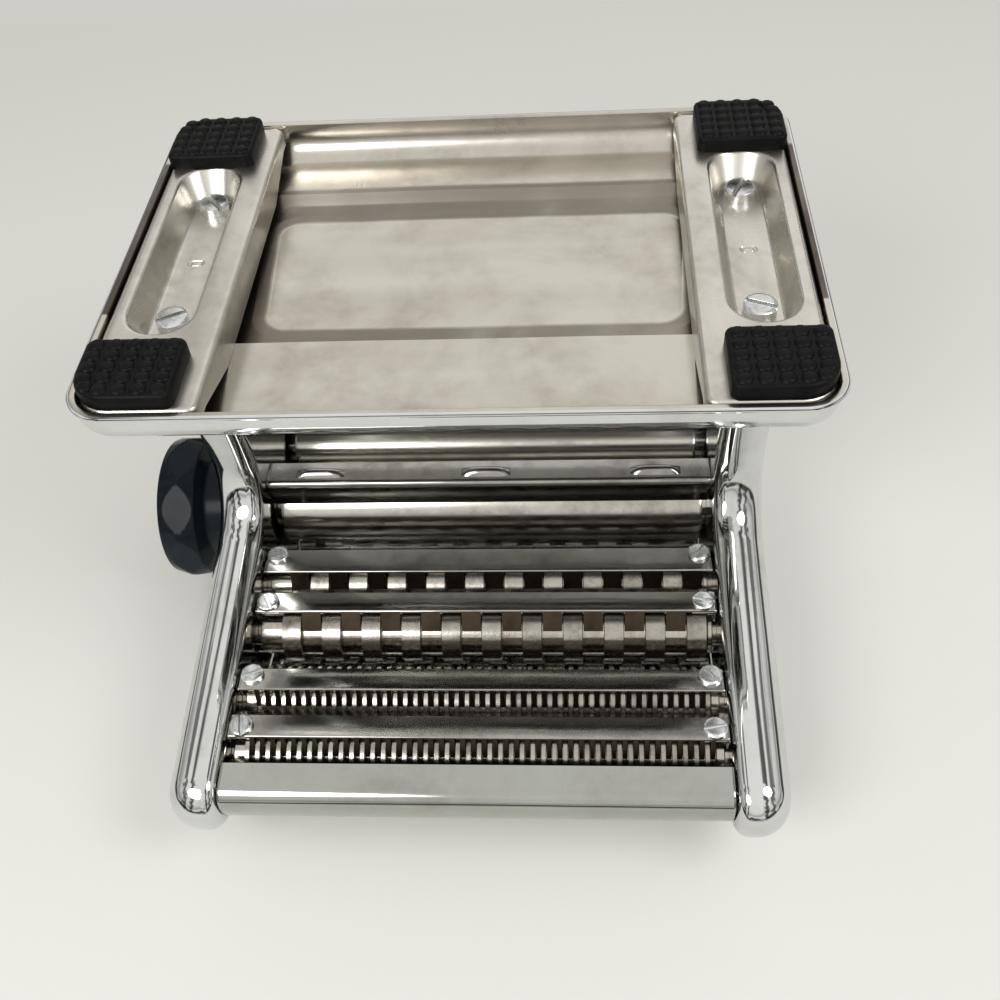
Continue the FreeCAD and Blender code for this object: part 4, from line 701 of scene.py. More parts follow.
def make_rail(name, side):
    """A tray with a fold along its inner side, and a trough pressed up into it. Each of its two skins is
    a stack of loops: a loop drawn in by the first number of its row and lying at the second."""
    shape = Shape()
    middle = side * 0.5 * (RAIL_X[0] + RAIL_X[1])
    half = 0.5 * (RAIL_X[1] - RAIL_X[0])

    def tray(inset):
        """The tray's outline, its inner corners tight and its outer ones as round as the pan's."""
        low = (middle - half + inset, -RAIL_HALF_LENGTH + inset)
        high = (middle + half - inset, RAIL_HALF_LENGTH - inset)
        return loop(low, high, [9.0 - inset if way == side else 3.0 - inset for way in (1, 1, -1, -1)],
                    marks=RAIL_MARKS)

    def dish(inset):
        """The trough's outline, which slopes less at its ends than at its sides."""
        low = (side * TROUGH_X - 9.5 + inset, -35 + 1.35 * inset)
        high = (side * TROUGH_X + 9.5 - inset, 43 - 1.9 * inset)
        return loop(low, high, 9.3 - 0.98 * inset, marks=RAIL_MARKS)

    below = rounded([(0, RAIL_WALL_TOP), (0, RAIL_Z), (2, RAIL_Z)], [0, 1.5, 0], steps=5)
    above = rounded([(GAUGE, RAIL_WALL_TOP), (GAUGE, RAIL_Z + GAUGE), (2, RAIL_Z + GAUGE)], [0, 0.4, 0],
                    steps=5)
    slope = rounded([(-2.0, RAIL_Z), (0, RAIL_Z), (3.0, TROUGH_Z), (6.0, TROUGH_Z)], [0, 1.2, 1.5, 0],
                    steps=5)
    skins = []
    for wall, trough in ((below, slope), (above, offset(slope, GAUGE))):
        rows = [at_height(tray(inset), z) for inset, z in wall]
        edge = rows[0]
        edge[(side * (edge[:, 0] - middle) < -half + 3) & (np.abs(edge[:, 1]) < 52.1), 2] = RAIL_FOLD_TOP
        skins.append(shape.grid(rows + [at_height(dish(inset), z) for inset, z in trough[1:]], True))
    shape.grid([skins[0][0], skins[1][0]], True)
    shape.flat([skins[1][-1]])
    mark = loop((side * TROUGH_X - 2.6, 4.6), (side * TROUGH_X + 2.6, 7.4), 1.38, steps=4)
    shape.flat([skins[0][-1], at_height(mark, TROUGH_Z)])
    centre = mark.mean(0)
    dent = [at_height(centre + (mark - centre) * share, TROUGH_Z + deep)
            for share, deep in ((1, 0), (0.86, 0.3), (0.7, 0.35), (0.6, 0.1), (0.4, 0.0))]
    shape.fan(shape.grid(dent, True)[-1])
    shape.build(f"piece_foot_rail_{name}", "frame", "rail_steel", ["rail"])


def make_foot(end_name, end, name, side):
    """A rubber pad with rounded edges and five rows of five bumps, each a small dome."""
    relief = size("foot_relief")
    shape = Shape()
    low = np.array([67.2, 41.5])
    high = np.array([93.3, 63.4])

    def outline(inset):
        corners = [low + inset, (high[0] - inset, low[1] + inset), high - inset,
                   (low[0] + inset, high[1] - inset)]
        line = rounded(corners, [2.4 - inset, 2.4 - inset, 9.0 - inset, 2.4 - inset], True)
        return line * (side, end)

    stack = ((0, RAIL_Z), (0, relief + 0.9), (0.25, relief + 0.3), (0.8, relief), (1.6, relief))
    rows = shape.grid([at_height(outline(inset), z) for inset, z in stack], True)
    shape.flat([rows[-1]])
    shape.flat([rows[0]])
    shape.post([(0, 5.2), (3.0, 5.2), (3.0, 6.5), (0, 6.5)], 0.5 * (low + high) * (side, end), 16)
    dome = [(2.2, relief + 0.05), (1.9, relief * 0.45), (1.4, relief * 0.12), (0.7, 0.0)]
    for x in np.linspace(low[0] + 3.1, high[0] - 3.1, 5):
        for y in np.linspace(low[1] + 2.8, high[1] - 2.8, 5):
            inwards = 1.1 if x > 88.5 and y > 58.5 else 0
            shape.fan(shape.post(dome, (side * (x - inwards), end * (y - inwards)), 10)[-1])
    shape.build(f"piece_rubber_foot_{end_name}_{name}", "frame", "foot_rubber", ["rubber"], sharp=50)


def make_rail_screws():
    """Slotted screws under the troughs' floors, with turned shanks up through the pan."""
    shape = Shape()
    for (name, side), angles in zip(SIDES, ((-0.5, 0.9), (0.4, -1.1))):
        for y, angle in zip(RAIL_SCREW_YS, angles):
            centre = (side * TROUGH_X, y)
            slotted_head(shape, centre, 4.5, TROUGH_Z, 3.2, angle, 1.3, 1.2)
            shape.post([(0, 13.9), (2.5, 13.9), (2.5, 25.2), (2.2, 25.5), (0, 25.5)], centre, 20)
    shape.build("piece_rail_screws", "frame", "screw_steel", ["zinc"])


# Cheeks

def cheek_line(inset):
    """The cheek's outline from the front of its foot round to the rear, drawn in by an inset. Its ends
    stay on the pan."""
    corners = [(-26.5, ROOF), (-15.6, 62), (-13.3, 98.27), (-118, 112.18), (-118, 132.52),
               (-CREST_START[0], CREST_START[1]), (-20.2, 152), (54, 152), (54, 112), (40, ROOF)]
    line = rounded(corners, [0, 200, 17, 11.5, 11.5, 20, 12, 14, 40, 0], steps=12)
    if inset:
        line = offset(line, -inset)
        line[[0, -1], 1] = ROOF
    return line


def arc_profile(start_x, stop_x, radius):
    """Rows of (inset, x) from an edge at start_x, round a quarter circle, to a face at stop_x."""
    way = math.copysign(1, stop_x - start_x)
    angle = np.linspace(0, math.pi / 2, 10)
    bend = np.stack([radius * (1 - np.cos(angle)), stop_x - way * radius * (1 - np.sin(angle))], -1)
    rows = [(0.0, start_x)] if abs(stop_x - start_x) > radius + 1e-6 else []
    return np.concatenate([np.array(rows).reshape(-1, 2), bend, [(radius + 0.5, stop_x)]])


def cheek_shell(shape, side, start_x, stop_x, radius, holes):
    """A pressed shell: its outer skin is the outline carried round from the seam to its face, its inner
    skin the same drawn in by the gauge. The feet's cut edges and the holes' edges join the two."""
    way = math.copysign(1, stop_x - start_x)
    inner_x = stop_x - way * GAUGE
    skins = []
    for profile in (arc_profile(start_x, stop_x, radius),
                    arc_profile(start_x, inner_x, radius - GAUGE) + (GAUGE, 0)):
        skins.append(shape.grid([at_side(cheek_line(inset), side * x) for inset, x in profile]))
    outer, inner = skins
    shape.grid([outer[0], inner[0]])
    for end in (0, -1):
        edge = [outer[:, end], inner[:, end]]
        count = min(len(outer), len(inner))
        shape.grid([edge[0][-count:], edge[1][-count:]])
        if len(outer) > count:
            shape.keep([edge[0][0], edge[0][1], edge[1][0]], [(0, 1, 2)])
    faces = []
    for skin, x in ((outer, stop_x), (inner, inner_x)):
        faces.append([at_side(circle(centre, hole), side * x) for centre, hole in holes])
        shape.flat([skin[-1]] + faces[-1])
    shape.grid([skin[-1][[0, -1]] for skin in skins])
    for near, far in zip(*faces):
        shape.grid([near, far], True)


def make_frame(name, side):
    """The inner sheet of a cheek, with holes for the shafts and lugs over the rail's screws."""
    holes = [(axis, SHAFTS["driven"] + CLEARANCE) for axis in DRIVEN_AXES]
    holes += [(axis, SHAFTS["partner"] + CLEARANCE) for axis in PARTNER_AXES]
    holes.append((KNOB_AXIS, 5.5 if side > 0 else 10.5))
    shape = Shape()
    cheek_shell(shape, side, SEAM_X, FRAME_X, size("frame_round"), holes)
    for y in RAIL_SCREW_YS:
        rows = shape.grid([at_height(loop((75.8, y - 3.6), (85.5, y + 3.6), 0.8, steps=2) * (side, 1), z)
                           for z in (ROOF, 26.2, 26.5)], True)
        shape.flat([rows[0]])
        shape.flat([rows[-1]])
    shape.build(f"piece_side_frame_{name}", "frame", "chromed_sheet", ["chrome"])


def make_cover(name, side):
    """The domed cover of a cheek, with holes for the knob's shaft and pin, or for the crank's sockets."""
    if side > 0:
        holes = [(KNOB_AXIS, 5.6), (PIN_AXIS, 1.52)]
    else:
        holes = [(axis, SHAFTS["driven"] + 0.6) for axis in DRIVEN_AXES]
    shape = Shape()
    cheek_shell(shape, side, SEAM_X, COVER_X, size("cover_round"), holes)
    shape.build(f"piece_side_cover_{name}", "frame", "chromed_sheet", ["chrome"])


# Folded sheets between the cheeks

SHEETS = {
    "rear_cover": ([(51.5, 100), (51.5, 149.5), (38, 149.5), (28.5, 136)], {1: 9.0, 2: 1.5}, "chrome"),
    "shoulder_cover": ([(8.5, 136), (-1, 149.5), (-18.9, 149.5), (-28.2, crest(29.5)), (-33, crest(33)),
                        (-34.2, crest(33) - 5)], {1: 1.5, 2: 11.0, 3: 9.0, 4: 0.75}, "chrome"),
    "middle_cover": ([(-45, crest(46.2) - 5), (-46.2, crest(46.2)), (-79, crest(79))], {1: 0.75}, "chrome"),
    # The nose cover takes chrome darkened as a painted dark reflection.
    "nose_cover": ([(-101.5, crest(101.5)), (-114.5, crest(114.5)), (-114.5, 113.1), (-103, 111.6)],
                   {1: 11.5, 2: 4.5}, "nose"),
}


def make_sheets():
    """The covers, each a folded section carried from cheek to cheek."""
    for name, (corners, bends, finish) in SHEETS.items():
        shape = Shape()
        shape.carry(folded(corners, bends, 10), SHEET_HALF)
        shape.build(f"piece_{name}", "frame", "chromed_sheet", [finish])


def louvre(shape, x, y, z):
    """A long low dome pressed down out of a sheet: its depth falls with the fourth power of the distance
    from its middle, as a share of its half length and half width."""
    u = np.linspace(-1, 1, 21)[None]
    v = np.linspace(-1, 1, 9)[:, None]
    depth = 2.0 * (1 - u ** 4) * np.cos(v * math.pi / 2) ** 0.8
    across = 2.2 * v * (1 - 0.35 * u ** 6)
    shape.grid(np.stack(np.broadcast_arrays(x + 8.3 * u, y + across, z - depth), -1))


def make_scrapers():
    """The folded sheets under the smooth rollers, with three louvres each."""
    for name, corners in (("front", [(1, 95), (-9, 95), (-6.8, 107.26)]),
                          ("rear", [(35.5, 95), (45.5, 95), (43.3, 107.26)])):
        shape = Shape()
        line = corners[::-1] if name == "front" else corners
        shape.carry(folded(line, {1: 0.75}), SHEET_HALF)
        for x in (-56.5, 0, 56.5):
            louvre(shape, x, 0.5 * (corners[0][0] + corners[1][0]), 95.0)
        shape.build(f"piece_{name}_roller_scraper", "frame", "scraper_steel", ["plate"])


# Combs and what holds them

# Each pair of cutters: its rings' width and number, where the first starts, the gap beside a finger
RINGS = {"wide": (6.5, 11, 65.4, 0.2), "narrow": (1.58, 44, 69.0, 0.1)}
# Each comb: its cutter, its back and front edge, its screws' place, its number of fingers
COMBS = {
    "wide_comb_rear": ("wide_driven", -25.1, -34.3, -27.5, 11),
    "wide_comb_front": ("wide_partner", -42.9, -50.2, -46.8, 10),
    "narrow_comb_rear": ("narrow_driven", -71.8, -79.2, -74.2, 44),
    "narrow_comb_front": ("narrow_partner", -88.0, -95.3, -91.9, 44),
}
# The fingers under each roller: the first one's place in rings, their tips ahead of and below its axis
FINGERS = {"driven": (1, 6.6, 6.2), "partner": (2, 5.2, 7.4)}
COMB_Z = 110.1


def make_combs():
    """Each comb is a plate with a rounded front edge and fingers that lean forwards and up."""
    corners = np.array([(0, 1, 2, 3), (4, 5, 6, 7), (0, 1, 5, 4), (1, 2, 6, 5), (2, 3, 7, 6), (3, 0, 4, 7)])
    nose = np.radians(np.linspace(270, 90, 7))
    for name, (cutter, back, edge, _, count) in COMBS.items():
        pair, role = cutter.split("_")
        ring, _, first, gap = RINGS[pair]
        place, ahead, drop = FINGERS[role]
        tip_y, tip_z = CUTTER_AXES[cutter][0] - ahead, CUTTER_AXES[cutter][1] - drop
        shape = Shape()
        curve = np.stack([edge + 0.6 + 0.6 * np.cos(nose), COMB_Z + 0.6 + 0.6 * np.sin(nose)], -1)
        below = [(back, COMB_Z), (edge + 0.6, COMB_Z)]
        above = [(edge + 0.6, COMB_Z + 1.2), (back, COMB_Z + 1.2)]
        shape.carry(np.concatenate([below, curve[1:4], curve[3:6], above]), 74.0)
        starts = first - place * ring + gap - np.arange(count) * 2 * ring
        points = np.empty((count, 2, 4, 3))
        points[..., 0] = np.stack([starts, starts + ring - 2 * gap], -1)[:, :, None]
        points[..., 1:] = [(edge, COMB_Z + 0.4), (edge + 0.8, COMB_Z + 0.4), (tip_y + 0.8, tip_z),
                           (tip_y, tip_z)]
        faces = (corners[None] + 8 * np.arange(count)[:, None, None]).reshape(-1, 4)
        shape.keep(points, faces, 1)
        # The fingers take the dark finger finish, which is painted shade.
        shape.build(f"piece_{name}", "frame", "scraper_steel", ["plate", "finger"], sharp=30)


def make_comb_fixings():
    """Slotted screws under the ends of the combs, and the small folded brackets above them."""
    screws, brackets = Shape(), Shape()
    angles = iter((0.5, -0.9, 1.1, 0.2, -0.4, 0.8, 1.4, -0.2))
    line = rounded([(66.5, 111.8), (74.1, 111.8), (74.1, 116.4)], [0, 0.8, 0], steps=4)
    section = np.concatenate([offset(line, -0.5), offset(line, 0.5)[::-1]])
    for _, _, _, screw_y, _ in COMBS.values():
        for side in (1, -1):
            centre = (side * 70.1, screw_y)
            slotted_head(screws, centre, 3.5, COMB_Z, 1.6, next(angles), 0.9, 0.8)
            screws.post([(0, COMB_Z), (1.8, COMB_Z), (1.8, 112.1), (1.5, 112.3), (0, 112.3)], centre, 16)
            brackets.sheet([np.insert(drawn_in(section, share) * (side, 1), 1, screw_y + depth, axis=1)
                            for depth, share in ((-3.2, 0.6), (-3.0, 1), (3.0, 1), (3.2, 0.6))])
    screws.build("piece_comb_screws", "frame", "screw_steel", ["zinc"])
    brackets.build("piece_comb_brackets", "frame", "scraper_steel", ["plate"])


def make_rods():
    """Tie rods, turned from one profile with a head at both ends."""
    shape = Shape()
    half = [(0, 2.5), (75.8, 2.5), (75.8, 3.4), (76.6, 3.4), (77.05, 2.7), (77.2, 1.6), (77.2, 0)]
    for axis in ROD_AXES:
        shape.turn([(-x, radius) for x, radius in half[:0:-1]] + half[1:], axis, 24)
    shape.build("piece_tie_rods", "frame", "shaft_steel", ["shaft"])


# Rollers and cutters

def barrel(half_width, radius, edge=0.5):
    """Profile of a plain cylinder with softened ends, its two ends left open to what it joins."""
    left = [(-half_width, radius - edge), (0.3 * edge - half_width, radius - 0.3 * edge),
            (edge - half_width, radius), (2.2 * edge - half_width, radius)]
    return left + [(-x, at) for x, at in left[::-1]]


def socket_end(radius):
    """Profile of the driven shafts' end: a bevelled face with a bore for the crank."""
    return [(-78.3, 0), (-78.3, 4.0), (-90.0, 4.0), (-90.3, 4.3), (-90.3, radius - 0.5), (-89.8, radius)]


def make_rollers():
    """The rear roller with its shaft, and the hollow front roller with its neck."""
    rear = Shape()
    shaft, half_width = SHAFTS["driven"], 72.8
    rear.turn(socket_end(shaft) + [(-half_width, shaft)] + barrel(half_width, ROLLER)
              + [(half_width, shaft), (79.4, shaft), (79.8, shaft - 0.4), (79.8, 0)], REAR_AXIS, 96)
    rear.build("piece_rear_smooth_roller", "rear_roller", "roller_chrome", ["roller"])
    front = Shape()
    bore, neck = 7.6, 9.2
    front.turn([(-85, bore), (-85, 8.9), (-84.7, neck), (-half_width, neck)] + barrel(half_width, ROLLER)
               + [(half_width, 7.9), (72.5, bore), (-85, bore)], FRONT_AXIS, 96)
    front.build("piece_front_smooth_roller", "front_roller", "roller_chrome", ["roller"])


# Radii of the cutters' cores, of their rings' tops, and of the collar and its groove beside the core
CORE, RING_TOP, COLLAR, GROOVE = 8.2, 10.25, 7.5, 6.8


def ring_profiles(start, count, ring, bevel):
    """Rings as wide as the gaps between them, from the crank side to the knob side."""
    outline = np.array([(0.05, CORE), (0.05, RING_TOP - bevel), (0.05 + 0.6 * bevel, RING_TOP),
                        (ring - 0.05 - 0.6 * bevel, RING_TOP), (ring - 0.05, RING_TOP - bevel),
                        (ring - 0.05, CORE)])
    starts = start - np.arange(count)[::-1] * 2 * ring
    return outline + np.stack([starts, np.zeros(count)], -1)[:, None]


def make_cutters():
    """A cutter is one turned profile: a shaft, a collar, the rings and the core, a collar, a shaft.
    Its rings and its core are tagged apart, so that each has its finish."""
    for name, axis in CUTTER_AXES.items():
        pair, role = name.split("_")
        driven, wide = role == "driven", pair == "wide"
        ring, count, first, _ = RINGS[pair]
        last = first - (2 * count - 1 + (0 if wide else 1)) * ring
        start = first - ring - (ring if driven else 0)
        teeth = ring_profiles(start, count - 1 if driven and wide else count, ring, 0.35 if wide else 0.2)
        shaft = SHAFTS[role]
        head = socket_end(shaft) if driven else [(-85, 0), (-85, shaft - 0.4), (-84.6, shaft)]
        left = head + [(-73, shaft), (-73, 7.2), (-72.7, COLLAR), (last - 0.6, COLLAR), (last - 0.3, 7.2),
                       (last - 0.3, GROOVE), (last, GROOVE), (last, CORE)]
        right = [(first, CORE), (first, GROOVE), (first + 0.3, GROOVE), (first + 0.3, 7.2),
                 (first + 0.6, COLLAR), (72.7, COLLAR), (73, 7.2), (73, shaft), (79.4, shaft),
                 (79.8, shaft - 0.4), (79.8, 0)]
        ends = [left[-1], *teeth[:, [0, -1]].reshape(-1, 2), right[0]]
        cores = np.array(ends).reshape(-1, 2, 2)
        shape = Shape()
        for tag, runs in ((1, [left]), (0, teeth), (1, cores), (1, [right])):
            for run in runs:
                shape.turn(run, axis, 48 if wide else 32, tag)
        shape.build(f"piece_{pair}_cutter_{role}", name, "cutter_steel", ["ring", "core"], sharp=30)


# Regulator

def make_regulator():
    """The coil spring behind the knob, a round wire along a helix, and the pin of the regulator's stops."""
    turns = bpy.context.scene.machine_sizes.spring_turns
    wire, radius, low, high, travel = 0.68, 6.3, 96.3, 107.7, 4.0
    along = np.linspace(0, 1, 24 * turns + 1)[:, None]
    angle = along * 2 * math.pi * turns
    around = np.arange(8)[None] * (2 * math.pi / 8)
    reach = radius + wire * np.cos(around)
    centre = low + wire + (high - low - 2 * wire) * along
    points = np.stack(np.broadcast_arrays(centre + wire * np.sin(around),
                                          KNOB_AXIS[0] + reach * np.cos(angle),
                                          KNOB_AXIS[1] + reach * np.sin(angle)), -1)
    spring = Shape()
    spring.grid(points, True)
    spring.fan(points[0])
    spring.fan(points[-1])
    coil = spring.build("piece_knob_spring", "regulator", "shaft_steel", ["shaft"])
    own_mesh(coil)
    pin = Shape()
    pin.turn([(87.7, 0), (87.7, 1.5), (90.8, 1.5), (91.1, 1.2), (91.2, 0.7), (91.2, 0)], PIN_AXIS, 20)
    pin.build("piece_index_pin", "frame", "shaft_steel", ["shaft"])


def make_knob():
    """The knob: a turned profile whose rim is cut by eight flats. At each point the radius is the
    profile's, or the flat's distance over the cosine of the angle from the flat's middle, whichever is
    less. The bore, the web with its square hole and the dimples close it behind."""
    back, front = KNOB_X
    web, bore, flat, sides = 96.0, 9.0, 24.45, 192
    outside = rounded([(back, 18.3), (99.0, 18.3), (100.9, 24.3), (106.5, 26.2), (front, 23.8),
                       (front, bore)], [0, 1.0, 0.8, 3.5, 0.9, 0], steps=6)
    run = np.concatenate([[0], np.cumsum(np.linalg.norm(np.diff(outside, axis=0), axis=1))])
    even = np.unique(np.round(np.concatenate([run, spread(run[1], run[-2], 0.45)]), 5))
    x = np.interp(even, run, outside[:, 0])
    radius = np.interp(even, run, outside[:, 1])
    angle = np.arange(sides) * (2 * math.pi / sides)
    from_flat = (angle + math.pi / 8) % (math.pi / 4) - math.pi / 8
    reach = np.minimum(radius[:, None], flat / np.cos(from_flat))
    shape = Shape()
    skin = shape.grid(np.stack(np.broadcast_arrays(x[:, None], KNOB_AXIS[0] + reach * np.cos(angle),
                                                   KNOB_AXIS[1] + reach * np.sin(angle)), -1), True)
    shape.turn([(front, bore), (web, bore)], KNOB_AXIS, sides)
    square = np.array([(-3.85, -3.85), (3.85, -3.85), (3.85, 3.85), (-3.85, 3.85)]) + KNOB_AXIS
    shape.flat([at_side(circle(KNOB_AXIS, bore, sides), web), at_side(square, web)])
    shape.grid([at_side(square, web), at_side(square, back)], True)
    dimples = []
    for stop in range(9):
        turn = math.radians(90 + (stop - 4) * 22.5)
        centre = (KNOB_AXIS[0] + PIN_REACH * math.cos(turn), KNOB_AXIS[1] + PIN_REACH * math.sin(turn))
        dimple = shape.turn([(back, 1.9), (back + 0.9, 1.75), (back + 1.35, 1.2), (back + 1.5, 0.6)],
                            centre, 16)
        shape.fan(dimple[-1])
        dimples.append(dimple[0])
    shape.flat([skin[0]] + dimples + [at_side(square, back)])
    shape.build("piece_regulator_knob", "knob", "knob_black", ["knob"], sharp=14)
    cap = Shape()
    cap.turn([(112, 0), (112, bore), (113.3, bore), (113.7, 8.7), (front, 8.2), (113.6, 7.6), (113.4, 4),
              (113.4, 0)], KNOB_AXIS, 96)
    cap.build("piece_knob_cap", "knob", "knob_black", ["knob"])


# CAD nodes whose shape stays

def dress_nodes():
    """Gears, bearings and the parts of the regulator that the knob hides keep their solids' meshes."""
    finishes = {"regulator_shaft": "shaft", "regulator_nut": "zinc", "bearing_blocks": "nylon",
                "bearing_sleeve_knob_side": "brass", "bearing_sleeve_crank_side": "brass"}
    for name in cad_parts:
        if name.endswith("_gear"):
            finishes[name] = "gear"
    for name, finish in finishes.items():
        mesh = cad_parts[name].data
        mesh.materials.clear()
        mesh.materials.append(material(finish))


# Stage

def plane(name, z, low, high, up):
    """A flat sheet seen only from its own side, faded out towards its edges."""
    (x0, y0), (x1, y1) = low, high
    mesh = bpy.data.meshes.new(name)
    corners = [(x0, y0, z), (x1, y0, z), (x1, y1, z), (x0, y1, z)]
    mesh.from_pydata(corners if up else corners[::-1], [], [(0, 1, 2, 3)])
    made, nodes = new_material(name)
    colour = (*bpy.context.scene.machine_colours.backdrop, 1)
    cloth = nodes.add("ShaderNodeBsdfDiffuse", {"Color": colour})
    clear = nodes.add("ShaderNodeBsdfTransparent")
    parts = nodes.split(nodes.object_place())
    hidden = nodes.add("ShaderNodeNewGeometry").outputs["Backfacing"]
    for axis, (a, b) in (("X", (x0, x1)), ("Y", (y0, y1))):
        far = nodes.math("ABSOLUTE", nodes.minus(parts[axis], 0.5 * (a + b)))
        hidden = nodes.math("MAXIMUM", hidden, nodes.remap(far, 0.35 * (b - a), 0.5 * (b - a)))
    mix = nodes.add("ShaderNodeMixShader", {0: hidden, 1: cloth.outputs[0], 2: clear.outputs[0]})
    nodes.add("ShaderNodeOutputMaterial", {0: mix.outputs[0]})
    mesh.materials.append(made)
    piece = put_in_scene(name, mesh)
    piece.visible_shadow = False
    piece.visible_diffuse = False
    piece.visible_glossy = not up


def lamp(name, place, aim, sides, power):
    """An oval lamp that faces a point."""
    data = bpy.data.lights.new(name, "AREA")
    data.shape = "ELLIPSE"
    data.size, data.size_y = sides
    data.energy = power
    piece = put_in_scene(name, data)
    piece.location = place
    piece.rotation_euler = (Vector(aim) - Vector(place)).to_track_quat("-Z", "Y").to_euler()


# Levels of what the metal mirrors against a direction's z, from below the machine to above it, and the
# share of light that is left against the size of the direction's x
UP_LEVELS = ((0.0, 0.95), (0.2, 1.0), (0.33, 0.85), (0.40, 0.45), (0.46, 0.95), (0.50, 0.10),
             (0.56, 0.07), (0.62, 0.38), (0.72, 0.72), (1.0, 0.86))
SIDE_LEVELS = ((0.0, 1.0), (0.36, 1.0), (0.43, 0.16), (0.50, 0.10), (0.56, 0.95), (0.66, 1.0),
               (0.71, 0.25), (0.79, 0.18), (0.85, 0.9), (1.0, 0.7))
WARMTH = (1.0, 0.985, 0.955, 1)


def ramp(nodes, value, levels):
    """Greys that follow a value through a list of (place, level)."""
    node = nodes.add("ShaderNodeValToRGB", {0: value})
    stops = node.color_ramp.elements
    for stop, (place, level) in zip((stops[0], stops[1]), (levels[0], levels[-1])):
        stop.position, stop.color = place, (level, level, level, 1)
    for place, level in levels[1:-1]:
        stops.new(place).color = (level, level, level, 1)
    return node.outputs[0]


def make_world():
    """The backdrop's colour to the eye and in what mirrors it. Mirrored, it is darkened by the height of
    the direction, and in strips to the left and right, both broken by slow noise."""
    world = bpy.data.worlds.new("studio")
    bpy.context.scene.world = world
    world.use_nodes = True
    nodes = Nodes(world.node_tree)
    place = nodes.add("ShaderNodeTexCoord").outputs["Generated"]
    parts = nodes.split(place)
    slow = nodes.noise(place, 1.8, 1.0, 0.4)
    fast = nodes.noise(place, 5.0, 1.0, 0.4)
    height = nodes.plus(nodes.remap(parts["Z"], -1, 1), nodes.remap(slow, 0.3, 0.7, -0.07, 0.07))
    across = nodes.plus(nodes.math("ABSOLUTE", parts["X"]), nodes.remap(fast, 0.3, 0.7, -0.06, 0.06))
    dimmed = nodes.blend(1.0, ramp(nodes, height, UP_LEVELS), ramp(nodes, across, SIDE_LEVELS), "MULTIPLY")
    warm = nodes.blend(1.0, dimmed, WARMTH, "MULTIPLY")
    plain = (*bpy.context.scene.machine_colours.backdrop, 1)
    path = nodes.add("ShaderNodeLightPath").outputs
    seen = nodes.blend(path["Is Camera Ray"], nodes.blend(path["Is Glossy Ray"], plain, warm), plain)
    sky = nodes.add("ShaderNodeBackground", {"Color": seen, "Strength": 1.0})
    nodes.add("ShaderNodeOutputWorld", {0: sky.outputs[0]})


def make_camera():
    """The photograph's view, from the front and below, the machine's top away from the camera."""
    data = bpy.data.cameras.new("photo_view")
    data.lens = 39.546
    data.sensor_width = 36.0
    data.clip_start = 0.01
    camera = put_in_scene("photo_view", data)
    camera.matrix_world = Matrix(((-0.9972, -0.0092, -0.0747, -0.0322), (0.0416, 0.7597, -0.6490, -0.2506),
                                  (0.0627, -0.6503, -0.7571, -0.1781), (0, 0, 0, 1)))
    bpy.context.scene.camera = camera


def make_lights():
    """The sheet under the machine, the one over it that it lies on in the photograph, and four lamps."""
    plane("floor", 0.0, (-0.6, -0.6), (0.6, 0.6), True)
    plane("table", 0.1525, (-0.5, -0.4), (0.5, 0.6), False)
    for name, place, aim_z, sides, power in (
            ("below_left", (0.35, -0.55, -0.45), 0.06, (0.5, 0.35), 3.0),
            ("below_right", (-0.5, -0.25, -0.5), 0.06, (0.35, 0.35), 2.0),
            ("above", (0.3, -0.5, 0.8), 0.08, (0.6, 0.6), 6.0),
            ("behind", (-0.4, 0.7, 0.5), 0.08, (0.5, 0.5), 3.0)):
        lamp(name, place, (0, 0, aim_z), sides, power)
    bpy.context.scene.view_settings.view_transform = "Standard"


# Operators and panel

class MACHINE_OT_stage(bpy.types.Operator):
    """Adds the floor, the light and the camera"""
    bl_idname = "machine.stage"
    bl_label = "Stage"

    def execute(self, context):
        make_camera()
        make_world()
        make_lights()
        return {"FINISHED"}


class MACHINE_OT_pan(bpy.types.Operator):
    """Adds the pressed base pan"""
    bl_idname = "machine.pan"
    bl_label = "Base pan"

    def execute(self, context):
        make_pan()
        return {"FINISHED"}


class MACHINE_OT_rails(bpy.types.Operator):
    """Adds the two foot rails and their screws"""
    bl_idname = "machine.rails"
    bl_label = "Foot rails"

    def execute(self, context):
        for name, side in SIDES:
            make_rail(name, side)
        make_rail_screws()
        return {"FINISHED"}


class MACHINE_OT_feet(bpy.types.Operator):
    """Adds the four rubber feet"""
    bl_idname = "machine.feet"
    bl_label = "Rubber feet"

    def execute(self, context):
        for name, side in SIDES:
            for end_name, end in ENDS:
                make_foot(end_name, end, name, side)
        return {"FINISHED"}


class MACHINE_OT_cheeks(bpy.types.Operator):
    """Adds the side frames and the covers over them"""
    bl_idname = "machine.cheeks"
    bl_label = "Cheeks"

    def execute(self, context):
        for name, side in SIDES:
            make_frame(name, side)
            make_cover(name, side)
        return {"FINISHED"}


class MACHINE_OT_sheets(bpy.types.Operator):
    """Adds the folded covers between the cheeks"""
    bl_idname = "machine.sheets"
    bl_label = "Folded covers"

    def execute(self, context):
        make_sheets()
        return {"FINISHED"}


class MACHINE_OT_scrapers(bpy.types.Operator):
    """Adds the scrapers under the smooth rollers"""
    bl_idname = "machine.scrapers"
    bl_label = "Scrapers"

    def execute(self, context):
        make_scrapers()
        return {"FINISHED"}


class MACHINE_OT_combs(bpy.types.Operator):
    """Adds the comb plates under the cutters, with their screws and brackets"""
    bl_idname = "machine.combs"
    bl_label = "Combs"

    def execute(self, context):
        make_combs()
        make_comb_fixings()
        return {"FINISHED"}


class MACHINE_OT_rods(bpy.types.Operator):
    """Adds the tie rods across the frames"""
    bl_idname = "machine.rods"
    bl_label = "Tie rods"

    def execute(self, context):
        make_rods()
        return {"FINISHED"}


class MACHINE_OT_rollers(bpy.types.Operator):
    """Adds the two smooth rollers"""
    bl_idname = "machine.rollers"
    bl_label = "Smooth rollers"

    def execute(self, context):
        make_rollers()
        return {"FINISHED"}


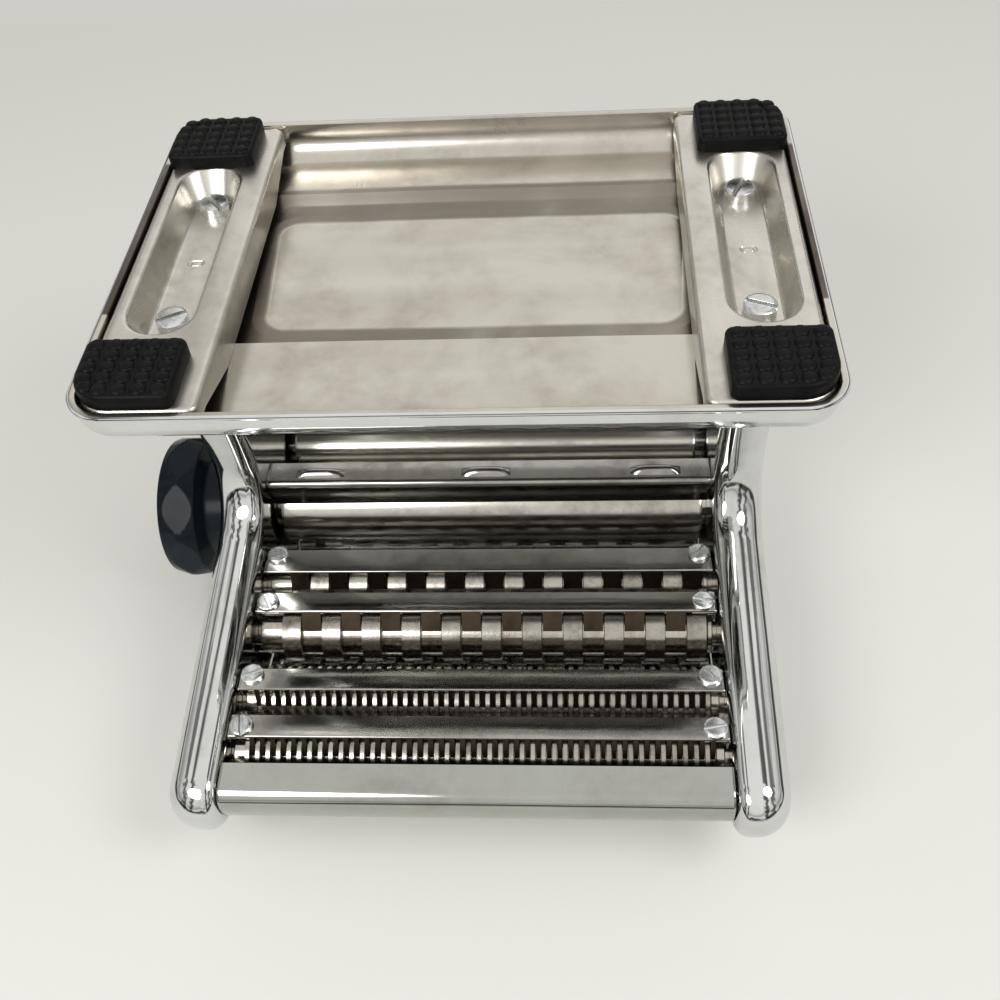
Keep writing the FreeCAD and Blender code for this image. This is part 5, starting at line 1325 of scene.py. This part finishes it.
class MACHINE_OT_cutters(bpy.types.Operator):
    """Adds the four cutter rollers"""
    bl_idname = "machine.cutters"
    bl_label = "Cutter rollers"

    def execute(self, context):
        make_cutters()
        return {"FINISHED"}


class MACHINE_OT_regulator(bpy.types.Operator):
    """Adds the regulator's spring and pin, its knob and the knob's cap"""
    bl_idname = "machine.regulator"
    bl_label = "Regulator"

    def execute(self, context):
        make_regulator()
        make_knob()
        return {"FINISHED"}


class MACHINE_OT_inner_parts(bpy.types.Operator):
    """Gives the gears, the bearings and the regulator's shaft their finish"""
    bl_idname = "machine.inner_parts"
    bl_label = "Inner parts"

    def execute(self, context):
        dress_nodes()
        return {"FINISHED"}


STEPS = [MACHINE_OT_stage, MACHINE_OT_pan, MACHINE_OT_rails, MACHINE_OT_feet, MACHINE_OT_cheeks,
         MACHINE_OT_sheets, MACHINE_OT_scrapers, MACHINE_OT_combs, MACHINE_OT_rods, MACHINE_OT_rollers,
         MACHINE_OT_cutters, MACHINE_OT_regulator, MACHINE_OT_inner_parts]


class MACHINE_PT_panel(bpy.types.Panel):
    """Lists the steps, sizes and colours of the pasta machine"""
    bl_label = "Pasta machine"
    bl_idname = "MACHINE_PT_panel"
    bl_space_type = "VIEW_3D"
    bl_region_type = "UI"
    bl_category = "Pasta machine"

    def draw(self, context):
        for step in STEPS:
            self.layout.operator(step.bl_idname)
        for group in (context.scene.machine_sizes, context.scene.machine_colours):
            for name in type(group).__annotations__:
                self.layout.prop(group, name)


CLASSES = [MachineSizes, MachineColours, *STEPS, MACHINE_PT_panel]


def register():
    for item in CLASSES:
        bpy.utils.register_class(item)
    bpy.types.Scene.machine_sizes = bpy.props.PointerProperty(type=MachineSizes)
    bpy.types.Scene.machine_colours = bpy.props.PointerProperty(type=MachineColours)


def unregister():
    del bpy.types.Scene.machine_colours
    del bpy.types.Scene.machine_sizes
    for item in reversed(CLASSES):
        bpy.utils.unregister_class(item)


def main():
    register()
    for step in STEPS:
        getattr(bpy.ops.machine, step.bl_idname.split(".")[1])()


if __name__ == "__main__":
    main()
